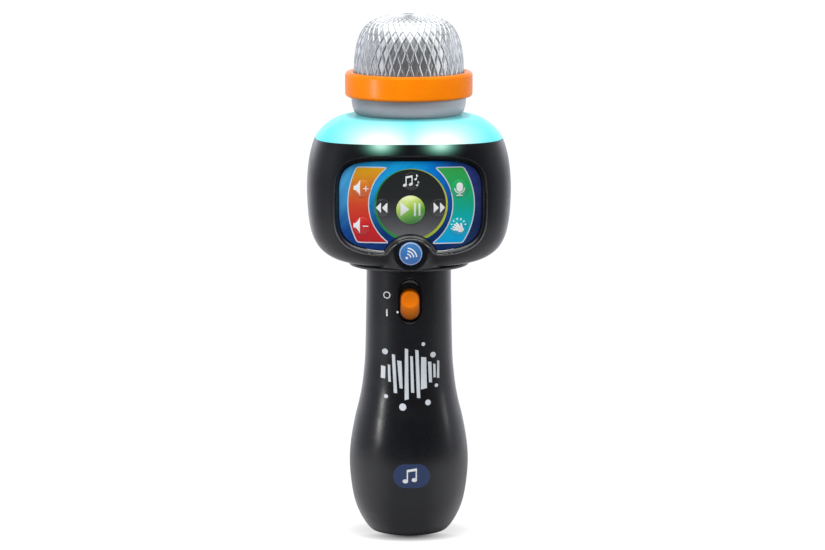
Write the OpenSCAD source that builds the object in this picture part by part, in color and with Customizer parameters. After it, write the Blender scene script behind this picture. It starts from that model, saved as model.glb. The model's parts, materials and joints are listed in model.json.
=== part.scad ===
// Toy karaoke microphone: two-piece handle with a rear battery bay, a rounded
// head with a push-button panel and a rear speaker, a lit shoulder, and a
// silver grille with a coloured grip ring.
// Millimetres. +Z up. Origin at the centre of the flat base. The buttons face -Y.

/* [Overall] */
// Wall thickness of the handle and head casings
wall = 2.2; // [1.8:0.1:2.4]
// Radial gap between a button and its hole
button_gap = 0.15; // [0.1:0.05:0.25]
// How far the power switch slides
switch_travel = 3.6; // [2:0.2:3.6]

/* [Handle] */
// Radius of the flat that the microphone stands on
base_r = 14.5; // [12:0.5:15]
// Height of the handle's top end, inside the head
handle_top = 137; // [136:0.5:138]
// Half width of the battery door
door_half_w = 15.5; // [15.3:0.1:16]
// Lower edge of the battery door
door_z0 = 9; // [8:0.5:9.5]
// Upper edge of the battery door
door_z1 = 75; // [74:0.5:76]
// Height of the door screw
door_screw_z = 71.5; // [71:0.1:72]

/* [Batteries] */
// Diameter of one AA cell
cell_d = 14.5; // [14:0.1:14.5]
// Length of one AA cell, terminal included
cell_l = 50.5; // [49.5:0.1:50.5]
// Lower end of the cells
cell_z = 13.5; // [13.3:0.1:13.7]

/* [Head] */
// Bottom edge of the head casing
head_z0 = 131.5; // [131:0.1:131.8]
// Top edge of the head casing
head_z1 = 190.7; // [190:0.1:191]
// Squareness of the head in plan: 2 is an ellipse, higher is squarer
head_n = 2.9; // [2.6:0.1:3.2]
// Radius of the neck collar
collar_r = 28.8; // [28.3:0.1:29]

/* [Control panel] */
// Radius that the panel is curved to
panel_r = 110; // [105:1:115]
// Front of the panel on the centre line, measured from the axis
panel_front = 32.6; // [32:0.1:33]
// Half width of the panel
panel_hw = 33.6; // [33.2:0.1:34.3]
// Bottom of the panel
panel_z0 = 140.4; // [140.2:0.1:141]
// Top of the panel
panel_z1 = 182.8; // [182.3:0.1:183.4]
// Radius of the small buttons
small_r = 4.3; // [4:0.1:4.5]
// Radius of the play button
play_r = 6.8; // [6:0.1:7]
// Radius of the pairing button
pair_r = 5.6; // [5:0.1:5.8]

/* [Grille] */
// Outer radius of the grip ring
ring_r = 30.4; // [29.6:0.1:31]
// Bottom of the grip ring
ring_z0 = 210.4; // [210:0.1:210.8]
// Top of the grip ring
ring_z1 = 222.2; // [221:0.1:223]
// Top of the grille dome
dome_top = 250; // [248:0.5:252]

/* [Hidden] */
$fn = 64;

black = [0.05, 0.05, 0.055];
charcoal = [0.12, 0.13, 0.14];
board_y = -19.8; // plane just behind the main board, where its parts and the wires meet it
wire_bend_r = 4;

// ---------- profiles: lists of [radius or half width, z], bottom to top ----------
function catmull_rom(p0, p1, p2, p3, t) =
    0.5 * ((2 * p1) + (p2 - p0) * t
        + (2 * p0 - 5 * p1 + 4 * p2 - p3) * t * t
        + (3 * p1 - p0 - 3 * p2 + p3) * t * t * t);

// Smooth curve through the points, with so many samples per span
function curve(points, samples) = let (last = len(points) - 1) concat(
    [for (i = [0 : last - 1]) for (j = [0 : samples - 1])
        catmull_rom(points[max(i - 1, 0)], points[i], points[i + 1],
            points[min(i + 2, last)], j / samples)],
    [points[last]]);

// Profile moved along its own normal: a positive depth is towards the axis
function tangent(profile, i) = profile[min(i + 1, len(profile) - 1)] - profile[max(i - 1, 0)];
function inward(profile, depth) = [for (i = [0 : len(profile) - 1])
    let (t = tangent(profile, i)) profile[i] + depth * [-t[1], t[0]] / norm(t)];

// Points above a height and clear of the axis
function trimmed(profile, low_z) = [for (p = profile) if (p[1] > low_z && p[0] > 0.4) p];

// Solid of revolution under a profile, between two heights
module turned(profile, z0, z1) {
    inner = [for (p = profile) if (p[1] > z0 && p[1] < z1) p];
    rotate_extrude() polygon(concat([[0, z0]], inner, [[0, z1]]));
}

// ---------- superellipse plans and lofted skins ----------
function signed_power(v, e) = abs(v) < 1e-9 ? 0 : sign(v) * pow(abs(v), e);
function superellipse(angle, half_w, half_d, n) =
    [half_w * signed_power(cos(angle), 2 / n), half_d * signed_power(sin(angle), 2 / n)];

// Rings of points, one for each station of [half width, half depth, squareness, z];
// a full turn leaves out the point that would repeat the first
function rings(stations, start, sweep, spans) =
    [for (s = stations) for (j = [0 : spans - (sweep == 360 ? 1 : 0)])
        let (p = superellipse(start + sweep * j / spans, s[0], s[1], s[2])) [p[0], p[1], s[3]]];

// Index of point j on ring i, wrapping round a ring of the given size
function at(i, j, size) = i * size + j % size;
function quad(a, b, c, d) = [[a, b, c], [a, c, d]];
function side_faces(last, spans, size) = [for (i = [0 : last - 1]) for (j = [0 : spans - 1])
    each quad(at(i, j, size), at(i + 1, j, size), at(i + 1, j + 1, size), at(i, j + 1, size))];

// Solid through closed rings of points, each ring of the given size
module lofted(points, size) {
    last = len(points) / size - 1;
    polyhedron(points = points, faces = concat(
        [[for (j = [0 : size - 1]) j]],
        [[for (j = [size - 1 : -1 : 0]) last * size + j]],
        side_faces(last, size, size)));
}

// Closed skin between outer and inner stations; a part turn also gets its two end faces
module skin(outer, inner, start, sweep, spans) {
    last = len(outer) - 1;
    size = sweep == 360 ? spans : spans + 1;
    offset_in = (last + 1) * size;
    function o(i, j) = at(i, j, size);
    function q(i, j) = offset_in + at(i, j, size);
    edges = [for (j = [0 : spans - 1]) each concat(
        quad(o(last, j), q(last, j), q(last, j + 1), o(last, j + 1)),
        quad(o(0, j), o(0, j + 1), q(0, j + 1), q(0, j)))];
    ends = sweep == 360 ? [] : [for (i = [0 : last - 1]) each concat(
        quad(o(i, 0), q(i, 0), q(i + 1, 0), o(i + 1, 0)),
        quad(o(i, spans), o(i + 1, spans), q(i + 1, spans), q(i, spans)))];
    inner_faces = [for (i = [0 : last - 1]) for (j = [0 : spans - 1])
        each quad(q(i, j), q(i, j + 1), q(i + 1, j + 1), q(i + 1, j))];
    polyhedron(
        points = concat(rings(outer, start, sweep, spans), rings(inner, start, sweep, spans)),
        faces = concat(side_faces(last, spans, size), inner_faces, edges, ends));
}

module plan_plate(half_w, half_d, n, z, height)
    translate([0, 0, z]) linear_extrude(height = height)
        polygon([for (j = [0 : 47]) superellipse(360 * j / 48, half_w, half_d, n)]);

// ---------- shared shapes ----------
module disc(z, height, radius) translate([0, 0, z]) cylinder(r = radius, h = height);

module at_angles(angles, reach)
    for (a = angles) rotate([0, 0, a]) translate([reach, 0, 0]) children();
module posts(angles, reach, z, height, radius)
    at_angles(angles, reach) disc(z, height, radius);

module rod_y(x, z, y0, y1, radius)
    translate([x, y1, z]) rotate([90, 0, 0]) cylinder(r = radius, h = y1 - y0);
module rods_y(places, y0, y1, radius) // places are [x, z]
    for (p = places) rod_y(p[0], p[1], y0, y1, radius);

// Round-ended bar along Y, tall in Z; low_z and high_z are the centres of its ends
module slot_y(x, low_z, high_z, y0, y1, radius) {
    rod_y(x, low_z, y0, y1, radius);
    rod_y(x, high_z, y0, y1, radius);
    translate([x - radius, y0, low_z]) cube([2 * radius, y1 - y0, high_z - low_z]);
}

module extruded_y(y0, y1)
    translate([0, y1, 0]) rotate([90, 0, 0]) linear_extrude(height = y1 - y0) children();

module rounded_outline(half_w, z0, z1, low_r, high_r) {
    for (side = [-1, 1]) {
        translate([side * (half_w - low_r), z0 + low_r]) circle(r = low_r);
        translate([side * (half_w - high_r), z1 - high_r]) circle(r = high_r);
    }
    translate([-(half_w - low_r), z0]) square([2 * (half_w - low_r), low_r + 0.01]);
    translate([-(half_w - high_r), z1 - high_r - 0.01])
        square([2 * (half_w - high_r), high_r + 0.01]);
    translate([-half_w, z0 + low_r]) square([2 * half_w, z1 - high_r - z0 - low_r]);
}

// Cross-slotted screw along Y, head towards +Y
module screw_y(x, z, head_y, tip_y, head_r, shank_r) difference() {
    union() {
        rod_y(x, z, head_y - 1.6, head_y, head_r);
        rod_y(x, z, tip_y, head_y - 1.5, shank_r);
    }
    for (a = [0, 90]) translate([x, head_y, z]) rotate([0, a, 0])
        translate([-head_r * 0.6, -0.9, -0.3]) cube([head_r * 1.2, 1, 0.6]);
}
module screws_y(places, head_y, tip_y, head_r, shank_r)
    for (p = places) screw_y(p[0], p[1], head_y, tip_y, head_r, shank_r);

// Cross-slotted screw along Z, head up
module screw_z(tip_z, head_z) difference() {
    union() {
        disc(tip_z, head_z + 0.15 - tip_z, 0.95);
        disc(head_z, 1.4, 2.0);
    }
    for (a = [0, 90]) rotate([0, 0, a])
        translate([-1.2, -0.3, head_z + 0.65]) cube([2.4, 0.6, 2]);
}

// Quarter bend of wire in the YZ plane, about the given centre
module wire_bend(x, y, z, angle, wire_r)
    translate([x, y, z]) rotate([90, 0, 90]) rotate_extrude(angle = angle)
        translate([wire_bend_r, 0]) circle(r = wire_r);

// ---------- handle ----------
neck_r = 20.2; // outer radius at the handle's top end
// [radius, z]
handle_ctrl = [
    [base_r, 0], [17.6, 1.0], [19.9, 3.2], [22.0, 6.2], [23.8, 9.6], [25.3, 13.2],
    [26.6, 18], [27.6, 24], [28.3, 31], [28.4, 37], [27.9, 43.5], [26.9, 50],
    [25.5, 57], [23.9, 63.5], [22.6, 70], [21.7, 77], [21.0, 85], [20.7, 95],
    [20.5, 106], [20.3, 118], [20.25, 128], [neck_r, handle_top]];
handle_out = curve(handle_ctrl, 2);
handle_screw_pos = [[-13, 80], [13, 80], [0, 94.4]]; // x, z

knob_r = 4.65;
knob_z0 = 110.25; // centres of the knob's round ends at rest
knob_z1 = 115.75;
switch_screw_pos = [[0, 101.3], [0, 131]]; // x, z

module front_half() translate([-100, -100, -10]) cube([200, 100, 300]);
module rear_half() translate([-100, 0, -10]) cube([200, 100, 300]);

// The handle's outline drawn in by a depth and filled solid
module handle_fill(depth, z0, z1) turned(inward(handle_out, depth), z0, z1);

module handle_cavity() turned(
    concat([[0.1, 2.6], [base_r - 1, 2.6]], trimmed(inward(handle_out, wall), 3.2),
        [[neck_r - wall, handle_top + 1]]),
    2.5, handle_top + 2);

module handle_tube() difference() {
    union() {
        turned(concat(handle_out, [[neck_r, handle_top - 0.001]]), 0, handle_top);
        disc(135.4, 1.6, 23.4); // flange trapped between the collar and the head
    }
    handle_cavity();
}

module handle_front_shell() color(black) difference() {
    union() {
        intersection() {
            handle_tube();
            front_half();
        }
        intersection() { // screw bosses
            union() {
                rods_y(handle_screw_pos, -25, -0.2, 3.2);
                rods_y(switch_screw_pos, -25, -9.3, 2.1);
            }
            handle_fill(0.8, 0.5, 134);
        }
        cylinder(r = 7, h = 2.5); // tongue of the floor that fits a notch in the rear half
    }
    slot_y(0, 110.2, 118.8, -30, -19.1, 5.9); // finger dish
    slot_y(0, knob_z0, knob_z1 + switch_travel, -30, -16, knob_r + 0.2);
    rods_y(handle_screw_pos, -9, 1, 1.05);
    rods_y(switch_screw_pos, -14, -9, 0.9);
}

module door_prism(grow, y0, y1) extruded_y(y0, y1)
    rounded_outline(door_half_w + grow, door_z0 - grow, door_z1 + grow, 6 + grow, 6 + grow);

module handle_rear_shell() color(black) difference() {
    union() {
        intersection() {
            handle_tube();
            rear_half();
        }
        intersection() { // thickened edge that becomes the door's ledge
            difference() {
                handle_fill(1.9, 3.2, 100);
                handle_fill(3.7, 1, 120);
            }
            door_prism(2.2, 6, 40);
        }
        intersection() { // screw bosses
            rods_y(handle_screw_pos, 0.2, 25, 3.9);
            handle_fill(0.6, 0.5, 134);
        }
    }
    difference() { // the door's seat
        door_prism(0.25, 2, 40);
        handle_fill(wall + 0.05, 1, 120);
    }
    door_prism(-1.6, 2, 40);
    rod_y(0, door_screw_z, 10, 30, 3.5);
    disc(-1, 4, 7.15); // notch for the front half's tongue
    rods_y(handle_screw_pos, 6.5, 30, 2.9);
    rods_y(handle_screw_pos, -1, 8, 1.35);
}

module door_groove(z) difference() {
    intersection() {
        disc(z, 1.2, 40);
        translate([-8, 5, z]) cube([16, 40, 1.2]);
    }
    translate([0, 0, -4]) handle_fill(0.7, 1, 120);
}

module battery_door() color([0.06, 0.06, 0.065]) difference() {
    union() {
        intersection() {
            difference() {
                turned(handle_out, 0.2, 120);
                handle_fill(wall - 0.1, 1, 121);
            }
            door_prism(0, 5, 40);
        }
        intersection() { // screw boss
            rod_y(0, door_screw_z, 17.2, 24, 3.2);
            handle_fill(0.6, 0.5, 120);
        }
    }
    rod_y(0, door_screw_z, 19.74, 30, 2.75);
    rod_y(0, door_screw_z, 10, 22, 1.4);
    for (i = [0 : 4]) door_groove(16 + i * 3);
}

module door_screw() color("silver") screw_y(0, door_screw_z, 21.4, 10.4, 2.55, 1.2);
module handle_screws() color("silver") screws_y(handle_screw_pos, 8.2, -7.5, 2.6, 1.0);

// ---------- batteries ----------
cells = [[-7.45, 9.0, true], [7.45, 9.0, false], [0, -3.75, true]]; // x, y, + end up
cell_r = cell_d / 2;
cell_top = cell_z + cell_l;
bore_r = cell_r + 0.25;
bore_z = 9.5;
bore_l = 56;

module tray_plates(y, depth)
    for (z = [6.8, 65.6]) translate([-30, y, z]) cube([60, depth, 2.6]);

module tray_bores() for (c = cells) { // round at the front, open towards the door
    translate([c[0], c[1], bore_z]) cylinder(r = bore_r, h = bore_l);
    translate([c[0] - bore_r, c[1], bore_z]) cube([2 * bore_r, 40, bore_l]);
}

module battery_tray() color([0.12, 0.12, 0.13]) difference() {
    union() {
        intersection() { // end plates wedged in the front casing
            handle_fill(wall + 0.1, 6.8, 68);
            tray_plates(-30, 30.2);
        }
        intersection() { // end plates and trough walls behind the joint line
            handle_fill(4.1, 6.8, 68);
            union() {
                tray_plates(-0.5, 12);
                for (c = cells) translate([c[0], c[1], 7]) cylinder(r = cell_r + 1.6, h = 60);
                translate([-16.5, 3, 7]) cube([33, 9, 60]);
            }
        }
        difference() { // boss for the door screw
            translate([-4.6, -5, 67]) cube([9.2, 21.9, 8]);
            translate([-3.2, -6, 68.6]) cube([6.4, 12, 10]);
        }
    }
    tray_bores();
    translate([-30, 15.2, bore_z]) cube([60, 20, bore_l]);
    rod_y(0, door_screw_z, 8, 20, 1.25);
}

module cell() {
    cylinder(r = cell_r, h = cell_l - 1.4);
    cylinder(r = cell_r - 1.1, h = cell_l - 1.2);
    cylinder(r = 2.7, h = cell_l);
}
module battery_cells() color([0.75, 0.62, 0.25]) for (c = cells)
    if (c[2]) translate([c[0], c[1], cell_z]) cell();
    else translate([c[0], c[1], cell_top]) mirror([0, 0, 1]) cell();

// Conical coil that widens as it rises, swept as rings of points round the wire
module coil(height, wire_r) {
    turns = 3;
    steps = turns * 14;
    sides = 6;
    low_r = 2.6;
    high_r = 4.6;
    points = [for (i = [0 : steps])
        let (t = i / steps, angle = 360 * turns * t, coil_r = low_r + (high_r - low_r) * t)
        for (k = [0 : sides - 1])
            let (reach = coil_r + wire_r * cos(360 * k / sides))
            [reach * cos(angle), reach * sin(angle), height * t + wire_r * sin(360 * k / sides)]];
    lofted(points, sides);
}

module battery_springs() color("silver") for (c = cells)
    if (c[2]) translate([c[0], c[1], cell_z - 0.35]) scale([1, 1, -1]) coil(2.75, 0.3);
    else translate([c[0], c[1], cell_top + 0.35]) coil(0.75, 0.18);

module contact_plates() color("gold") for (c = cells) {
    if (c[2]) translate([c[0], c[1], cell_top + 0.1]) cylinder(r = 5.2, h = 0.5);
    else translate([c[0], c[1], 9.6]) {
        cylinder(r = 5.2, h = 0.5);
        cylinder(r = 2.2, h = cell_z - 9.6 - 0.1);
    }
}

// ---------- power switch ----------
module switch_knob() color([1, 0.45, 0.02]) {
    slot_y(0, knob_z0, knob_z1, -21.3, -16.5, knob_r);
    hull() { // thumb ramp, highest near its upper end
        rod_y(0, knob_z1 - 0.2, -24.6, -24.3, 3.7);
        rod_y(0, knob_z1 - 0.2, -24.0, -23.0, 4.15);
        rod_y(0, knob_z0, -21.4, -21.2, 4.55);
        rod_y(0, knob_z1, -21.4, -21.2, 4.55);
    }
    slot_y(0, knob_z0, knob_z1, -16.6, -15.4, 6.2);
    for (z = [109.6, 114.6]) // fork that drives the lever
        translate([-2.2, -15.5, z]) cube([4.4, 1.7, 1.8]);
}
module switch_lever() color([0.9, 0.9, 0.88]) translate([-1.5, -15.3, 111.5]) cube([3, 3.3, 3]);
module switch_body() color("silver") difference() {
    translate([-4.2, -13.6, 105.5]) cube([8.4, 4.4, 18]);
    translate([-1.8, -14, 111.2]) cube([3.6, 2.3, 3.6 + switch_travel]);
}
module switch_board() color([0.05, 0.35, 0.15]) difference() {
    translate([-7.5, -9.2, 98.8]) cube([15, 1.5, 34.8]);
    rods_y(switch_screw_pos, -12, -5, 1.1);
}
module switch_board_screws() color("silver") screws_y(switch_screw_pos, -6.0, -13, 1.9, 0.85);

// Wire that rises from the tray, then turns forward to the main board
module power_wire(x) {
    y = -10;
    low_z = 68.2;
    high_z = 145;
    wire_r = 0.75;
    translate([x, y, low_z]) cylinder(r = wire_r, h = high_z - wire_bend_r - low_z);
    wire_bend(x, y - wire_bend_r, high_z - wire_bend_r, 90, wire_r);
    rod_y(x, high_z, board_y, y - wire_bend_r, wire_r);
}
module power_wire_red() color("red") power_wire(-8.4);
module power_wire_black() color([0.02, 0.02, 0.02]) power_wire(8.4);

// ---------- head ----------
module neck_collar() color(black) rotate_extrude() polygon([
    [20.45, 129.1], [collar_r - 2.4, 129.1], [collar_r - 0.7, 129.6], [collar_r, 130.4],
    [collar_r, 131.35], [26.8, 131.35], // groove that the head halves close round
    [26.8, 134.3], [28.2, 134.3], [28.2, 135.25], [20.45, 135.25]]);

head_base_hw = 27.4;
// [half width, z]; the depth follows from the width
head_ctrl = [
    [head_base_hw, head_z0], [32.8, 132.4], [37.6, 134.3], [41.8, 137.4], [44.8, 141.5],
    [46.7, 146.3], [47.9, 152.6], [48.5, 160], [48.7, 167.5], [48.3, 175], [47.4, 181.6],
    [46.1, 186.8], [44.7, head_z1]];
function head_depth(half_w) = 28.2 + 0.325 * (half_w - head_base_hw);
function head_squareness(half_w) =
    2.05 + (head_n - 2.05) * min(1, max(0, (half_w - head_base_hw) / 18));
head_out = curve(head_ctrl, 2);

// Profile with its two ends put back to the outer profile's heights
function flat_ends(profile, outer) = let (last = len(profile) - 1)
    [for (i = [0 : last]) i == last ? [profile[i][0], outer[i][1]] : profile[i]];
head_in = inward(head_out, wall);
head_in_flat = flat_ends(head_in, head_out);

function head_stations(profile) = [for (i = [0 : len(profile) - 1])
    let (half_w = profile[i][0], outer_w = head_out[i][0])
    [half_w, head_depth(outer_w) - (outer_w - half_w), head_squareness(outer_w), profile[i][1]]];

// One half of the casing: start 180 is the front, 0 the rear
module half_head(start)
    skin(head_stations(head_out), head_stations(head_in_flat), start, 180, 30);

// The casing's outline filled solid and drawn in, to trim bosses that run into the wall
module head_fill() lofted(rings(head_stations(inward(head_out, 1.0)), 0, 360, 40), 40);

head_screw_pos = [[-41, 153], [41, 153], [-41, 176], [41, 176]]; // x, z
board_screw_pos = [[-33.8, 146], [33.8, 146], [-33.8, 178], [33.8, 178]]; // x, z
pair_z = 139.2; // height of the pairing button
arch_z = 134.2; // centre and radius of the arch that the panel is notched round
arch_r = 13.8;

panel_yc = panel_r - panel_front; // centre of the panel's curve
panel_zc = (panel_z0 + panel_z1) / 2;
module curved(radius) translate([0, panel_yc, 100]) cylinder(r = radius, h = 120);
module curved_sheet(front_depth, back_depth) difference() { // depths behind the panel's front
    curved(panel_r - front_depth);
    curved(panel_r - back_depth);
}

// Screen-shaped outline with bowed sides and rounder lower corners
function screen(grow) = [for (j = [0 : 71])
    superellipse(5 * j, panel_hw + grow, (panel_z1 - panel_z0) / 2 + grow, j < 36 ? 4.6 : 3.8)
        + [0, panel_zc]];
module panel_prism(grow, y0, y1) extruded_y(y0, y1) polygon(screen(grow));

// Web over the handle's flange, and the ledge the reflector is drawn up to;
// web_y is the web's front edge and ledge_y the ledge's
module head_ribs(web_y, ledge_y) intersection() {
    union() {
        difference() {
            translate([-45, web_y, 137.15]) cube([90, 18.5, 1.8]);
            disc(130, 20, 16.5);
        }
        difference() {
            translate([-50, ledge_y, 189.0]) cube([100, 40, 1.5]);
            plan_plate(40.4, 29.7, 2.8, 180, 20);
        }
    }
    head_fill();
}

module panel_opening() difference() { // leaves the panel's ledge and the arch standing
    panel_prism(0.25, -50, -20);
    rod_y(0, arch_z, -60, -10, arch_r);
    intersection() {
        difference() {
            panel_prism(1, -40, -22);
            panel_prism(-1.5, -50, -10);
        }
        curved_sheet(1.75, 3.0);
    }
}

module head_front_shell() color(black) difference() {
    union() {
        half_head(180);
        head_ribs(-18.5, -40);
        intersection() { // bezel frame with its raised lip
            panel_prism(2.4, -40, -23);
            curved(panel_r + 2.0);
        }
        intersection() { // flat boss round the pairing button
            rod_y(0, pair_z, -34.8, -28.9, 8.9);
            translate([-20, -40, 131.55]) cube([40, 20, 20]);
        }
        intersection() { // screw bosses
            union() {
                rods_y(head_screw_pos, -30, -0.2, 3.5);
                rods_y(board_screw_pos, -30, -21.6, 2.4);
            }
            head_fill();
        }
    }
    panel_opening();
    rod_y(0, pair_z, -50, -20, pair_r + button_gap);
    rod_y(0, pair_z, -31.2, -20, 6.6);
    rods_y(head_screw_pos, -12, 1, 1.05);
    rods_y(board_screw_pos, -25, -20, 0.9);
}

speaker_z = 163.5;
speaker_screw_x = 24.8;
speaker_screw_pos = [for (side = [-1, 1]) [side * speaker_screw_x, speaker_z]];

module sound_slots() {
    slot_r = 1.2;
    for (i = [-3 : 3]) {
        x = i * 5;
        reach = sqrt(17 * 17 - x * x) - 2 * slot_r;
        slot_y(x, speaker_z - reach, speaker_z + reach, 25, 45, slot_r);
    }
}

module head_rear_shell() color(black) difference() {
    union() {
        half_head(0);
        head_ribs(0, 0);
        intersection() {
            union() {
                rods_y(head_screw_pos, 0.2, 32, 3.9);
                difference() { // ring round the speaker, with the seat for its gasket
                    rod_y(0, speaker_z, 22.6, 40, 22.4);
                    rod_y(0, speaker_z, 20, 26.3, 20.7);
                    rod_y(0, speaker_z, 20, 50, 18.6);
                }
                rods_y(speaker_screw_pos, 22.6, 40, 2.6);
            }
            head_fill();
        }
    }
    rods_y(head_screw_pos, 9.5, 40, 3.0);
    rods_y(head_screw_pos, -1, 10, 1.35);
    rods_y(speaker_screw_pos, 20, 29.5, 0.9);
    sound_slots();
}
module head_screws() color("silver") screws_y(head_screw_pos, 11.3, -10, 2.7, 1.0);

// ---------- control panel ----------
// x, z, radius
volume_up = [-22.9, 169.7, small_r];
volume_down = [-23.0, 151.9, small_r];
previous = [-13.5, 160.6, small_r];
next = [13.4, 160.6, small_r];
song = [0.4, 173.4, small_r];
play = [0.0, 159.8, play_r];
voice = [23.1, 169.6, small_r];
clap = [22.6, 151.6, small_r];
buttons = [volume_up, volume_down, previous, next, song, play, voice, clap];
function is_large(button) = button[2] > 5;

// Places a child, drawn pointing along -Y from the panel's curve centre, at a button
module on_panel(button) translate([0, panel_yc, button[1]])
    rotate([0, 0, asin(button[0] / panel_r)]) children();

// Domed cap with a retaining flange behind the panel
module push_button(button) on_panel(button) {
    radius = button[2];
    dome = is_large(button) ? 2.3 : 1.0; // height of the domed part
    rise = is_large(button) ? 0.2 : 0.15;
    sphere_r = (radius * radius + dome * dome) / (2 * dome);
    flange_r = radius + 0.85;
    // Front face of the flange, just clear of the panel's curved back
    flange_front = sqrt(pow(panel_r - 1.6, 2) - pow(flange_r, 2)) - 0.08;
    intersection() {
        rotate([90, 0, 0]) cylinder(r = radius, h = panel_r + rise + 3);
        translate([0, -(panel_r + rise + dome - sphere_r), 0]) sphere(r = sphere_r);
        translate([-20, -(panel_r + 10), -20]) cube([40, 12.7, 40]);
    }
    translate([0, -(flange_front - 1.1), 0]) rotate([90, 0, 0]) cylinder(r = flange_r, h = 1.1);
    translate([0, -(flange_front - 0.5), 0]) rotate([90, 0, 0])
        cylinder(r = radius - 0.01, h = panel_r - flange_front + 0.5 + rise * 0.3);
}
module volume_up_button() color([0.88, 0.5, 0.15]) push_button(volume_up);
module volume_down_button() color([0.8, 0.15, 0.2]) push_button(volume_down);
module previous_button() color(charcoal) push_button(previous);
module next_button() color(charcoal) push_button(next);
module song_button() color(charcoal) push_button(song);
module play_button() color([0.45, 0.75, 0.2]) push_button(play);
module voice_button() color([0.12, 0.6, 0.3]) push_button(voice);
module clap_button() color([0.0, 0.62, 0.65]) push_button(clap);

module control_panel() color([0.05, 0.3, 0.65]) difference() {
    intersection() {
        panel_prism(0, -40, -20);
        curved_sheet(0, 1.6);
    }
    rod_y(0, arch_z, -60, -10, arch_r + 0.25);
    for (b = buttons)
        on_panel(b) rotate([90, 0, 0]) cylinder(r = b[2] + button_gap, h = panel_r + 10);
}
module pairing_button() color([0.2, 0.5, 0.85]) {
    intersection() {
        rod_y(0, pair_z, -36.6, -29.8, pair_r);
        translate([0, -35.9 + 22, pair_z]) sphere(r = 22);
    }
    rod_y(0, pair_z, -31.1, -29.7, 6.3);
}
module keypad_mat() color([0.85, 0.85, 0.82]) {
    difference() {
        intersection() {
            extruded_y(-40, -15) rounded_outline(29.6, 143.5, 180.6, 8, 8);
            curved_sheet(4.9, 5.9);
        }
        rod_y(0, arch_z, -60, -10, arch_r + 1.6);
    }
    for (b = buttons) // a stud behind each button
        on_panel(b) translate([0, -(panel_r - 5.2), 0]) rotate([90, 0, 0])
            cylinder(r = b[2] - 1.4, h = is_large(b) ? 1.28 : 1.43);
}
module main_board() color([0.04, 0.32, 0.16]) difference() {
    extruded_y(-21.5, -19.9) rounded_outline(36.6, 138.6, 183.6, 9, 4);
    rods_y(board_screw_pos, -30, -10, 1.15);
}
module board_chips() color([0.08, 0.08, 0.09]) {
    translate([-8, board_y, 150]) cube([12, 1.8, 12]);
    translate([9, board_y, 150]) cube([8, 1.4, 10]);
    translate([-24, board_y, 160]) cube([9, 2.2, 6]);
    translate([14, board_y, 166]) cube([11, 2.8, 7]);
    for (i = [0 : 3]) rod_y(-26 + i * 4.4, 172, board_y, -13.6, 1.9);
    translate([-3, -25, 138.9]) cube([6, 3.4, 6]); // push switch behind the pairing button
    rod_y(0, 140.6, -28.8, -25, 1.6);
}
module board_screws() color("silver") screws_y(board_screw_pos, -18.2, -24.2, 1.9, 0.85);

// ---------- speaker ----------
// Turns a shape drawn about Z to point along +Y at the speaker's centre
module speaker_axis() translate([0, 0, speaker_z]) rotate([-90, 0, 0]) children();

module speaker_basket() color([0.35, 0.36, 0.38]) speaker_axis() difference() {
    rotate_extrude() polygon([
        [9, 13.2], [13, 13.2], [19.4, 22.6], [20.5, 22.6], [20.5, 24.4],
        [17.6, 24.4], [17.6, 22.9], [12.2, 14.6], [9, 14.6]]);
    at_angles([0 : 60 : 300], 15) translate([0, 0, 16]) cylinder(r = 2.6, h = 14, center = true);
}
module speaker_magnet() color([0.55, 0.55, 0.57]) {
    rod_y(0, speaker_z, 5.2, 6.9, 11.5);
    rod_y(0, speaker_z, 6.9, 11.4, 13.2);
    rod_y(0, speaker_z, 11.4, 13.1, 11.8);
}
module speaker_cone() color([0.1, 0.1, 0.11]) speaker_axis() rotate_extrude() polygon([
    [0, 18.9], [5.2, 18.3], [5.2, 14.9], [6.2, 14.9], [16.2, 23.4], [17.4, 24.0],
    [17.5, 24.46], [18.9, 24.46], [18.9, 24.9], [16.8, 24.9], [16.0, 24.3], [6.4, 18.8],
    [3.5, 20.4], [0, 21]]);
module speaker_gasket() color([0.15, 0.15, 0.16]) difference() {
    rod_y(0, speaker_z, 24.6, 26.2, 20.4);
    rod_y(0, speaker_z, 20, 30, 19.1);
}
// Heads face into the head; each screw holds a clip over the basket's rim
module speaker_screws() color("silver") for (side = [-1, 1]) {
    mirror([0, 1, 0]) screw_y(side * speaker_screw_x, speaker_z, -20.2, -28.5, 1.9, 0.85);
    difference() {
        translate([side * 23.1 - 3.7, 21.9, speaker_z - 2.4]) cube([7.4, 0.6, 4.8]);
        rod_y(side * speaker_screw_x, speaker_z, 20, 30, 0.95);
    }
}
module speaker_wires() color([0.75, 0.1, 0.1])
    rods_y([[12.8, 148.2], [10.8, 146.8]], board_y, 22.3, 0.6);

// ---------- lit shoulder ----------
post_angles = [45 : 90 : 315];
post_reach = 20.6;

module reflector_plate() color("white") difference() {
    union() {
        plan_plate(42.2, 31.2, 2.8, 187.1, 1.8);
        posts(post_angles, post_reach, 188.8, 11.5, 2.5);
    }
    disc(180, 30, 6);
    posts(post_angles, post_reach, 192, 40, 1.0);
}
module led_board() color([0.93, 0.93, 0.9]) difference() {
    plan_plate(39.5, 29, 2.6, 189.0, 1.2);
    disc(185, 20, 23.6);
}
led_pos = [ // x, y
    [-14.1, -25.6], [14.1, -25.6], [-32.5, -10], [32.5, -10],
    [-32.5, 10], [32.5, 10], [-14.1, 25.6], [14.1, 25.6]];
module leds() color([0.9, 1, 1]) for (p = led_pos) translate([p[0], p[1], 190.25]) {
    translate([-1.9, -1.9, 0]) cube([3.8, 3.8, 1.2]);
    translate([0, 0, 1.1]) cylinder(r1 = 1.7, r2 = 1.2, h = 0.8);
}

shoulder_hw = 44.6; // half width and half depth at the bottom
shoulder_hd = 33.75;
shoulder_round = 25.4; // half width at and below which the plan is a circle
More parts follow.
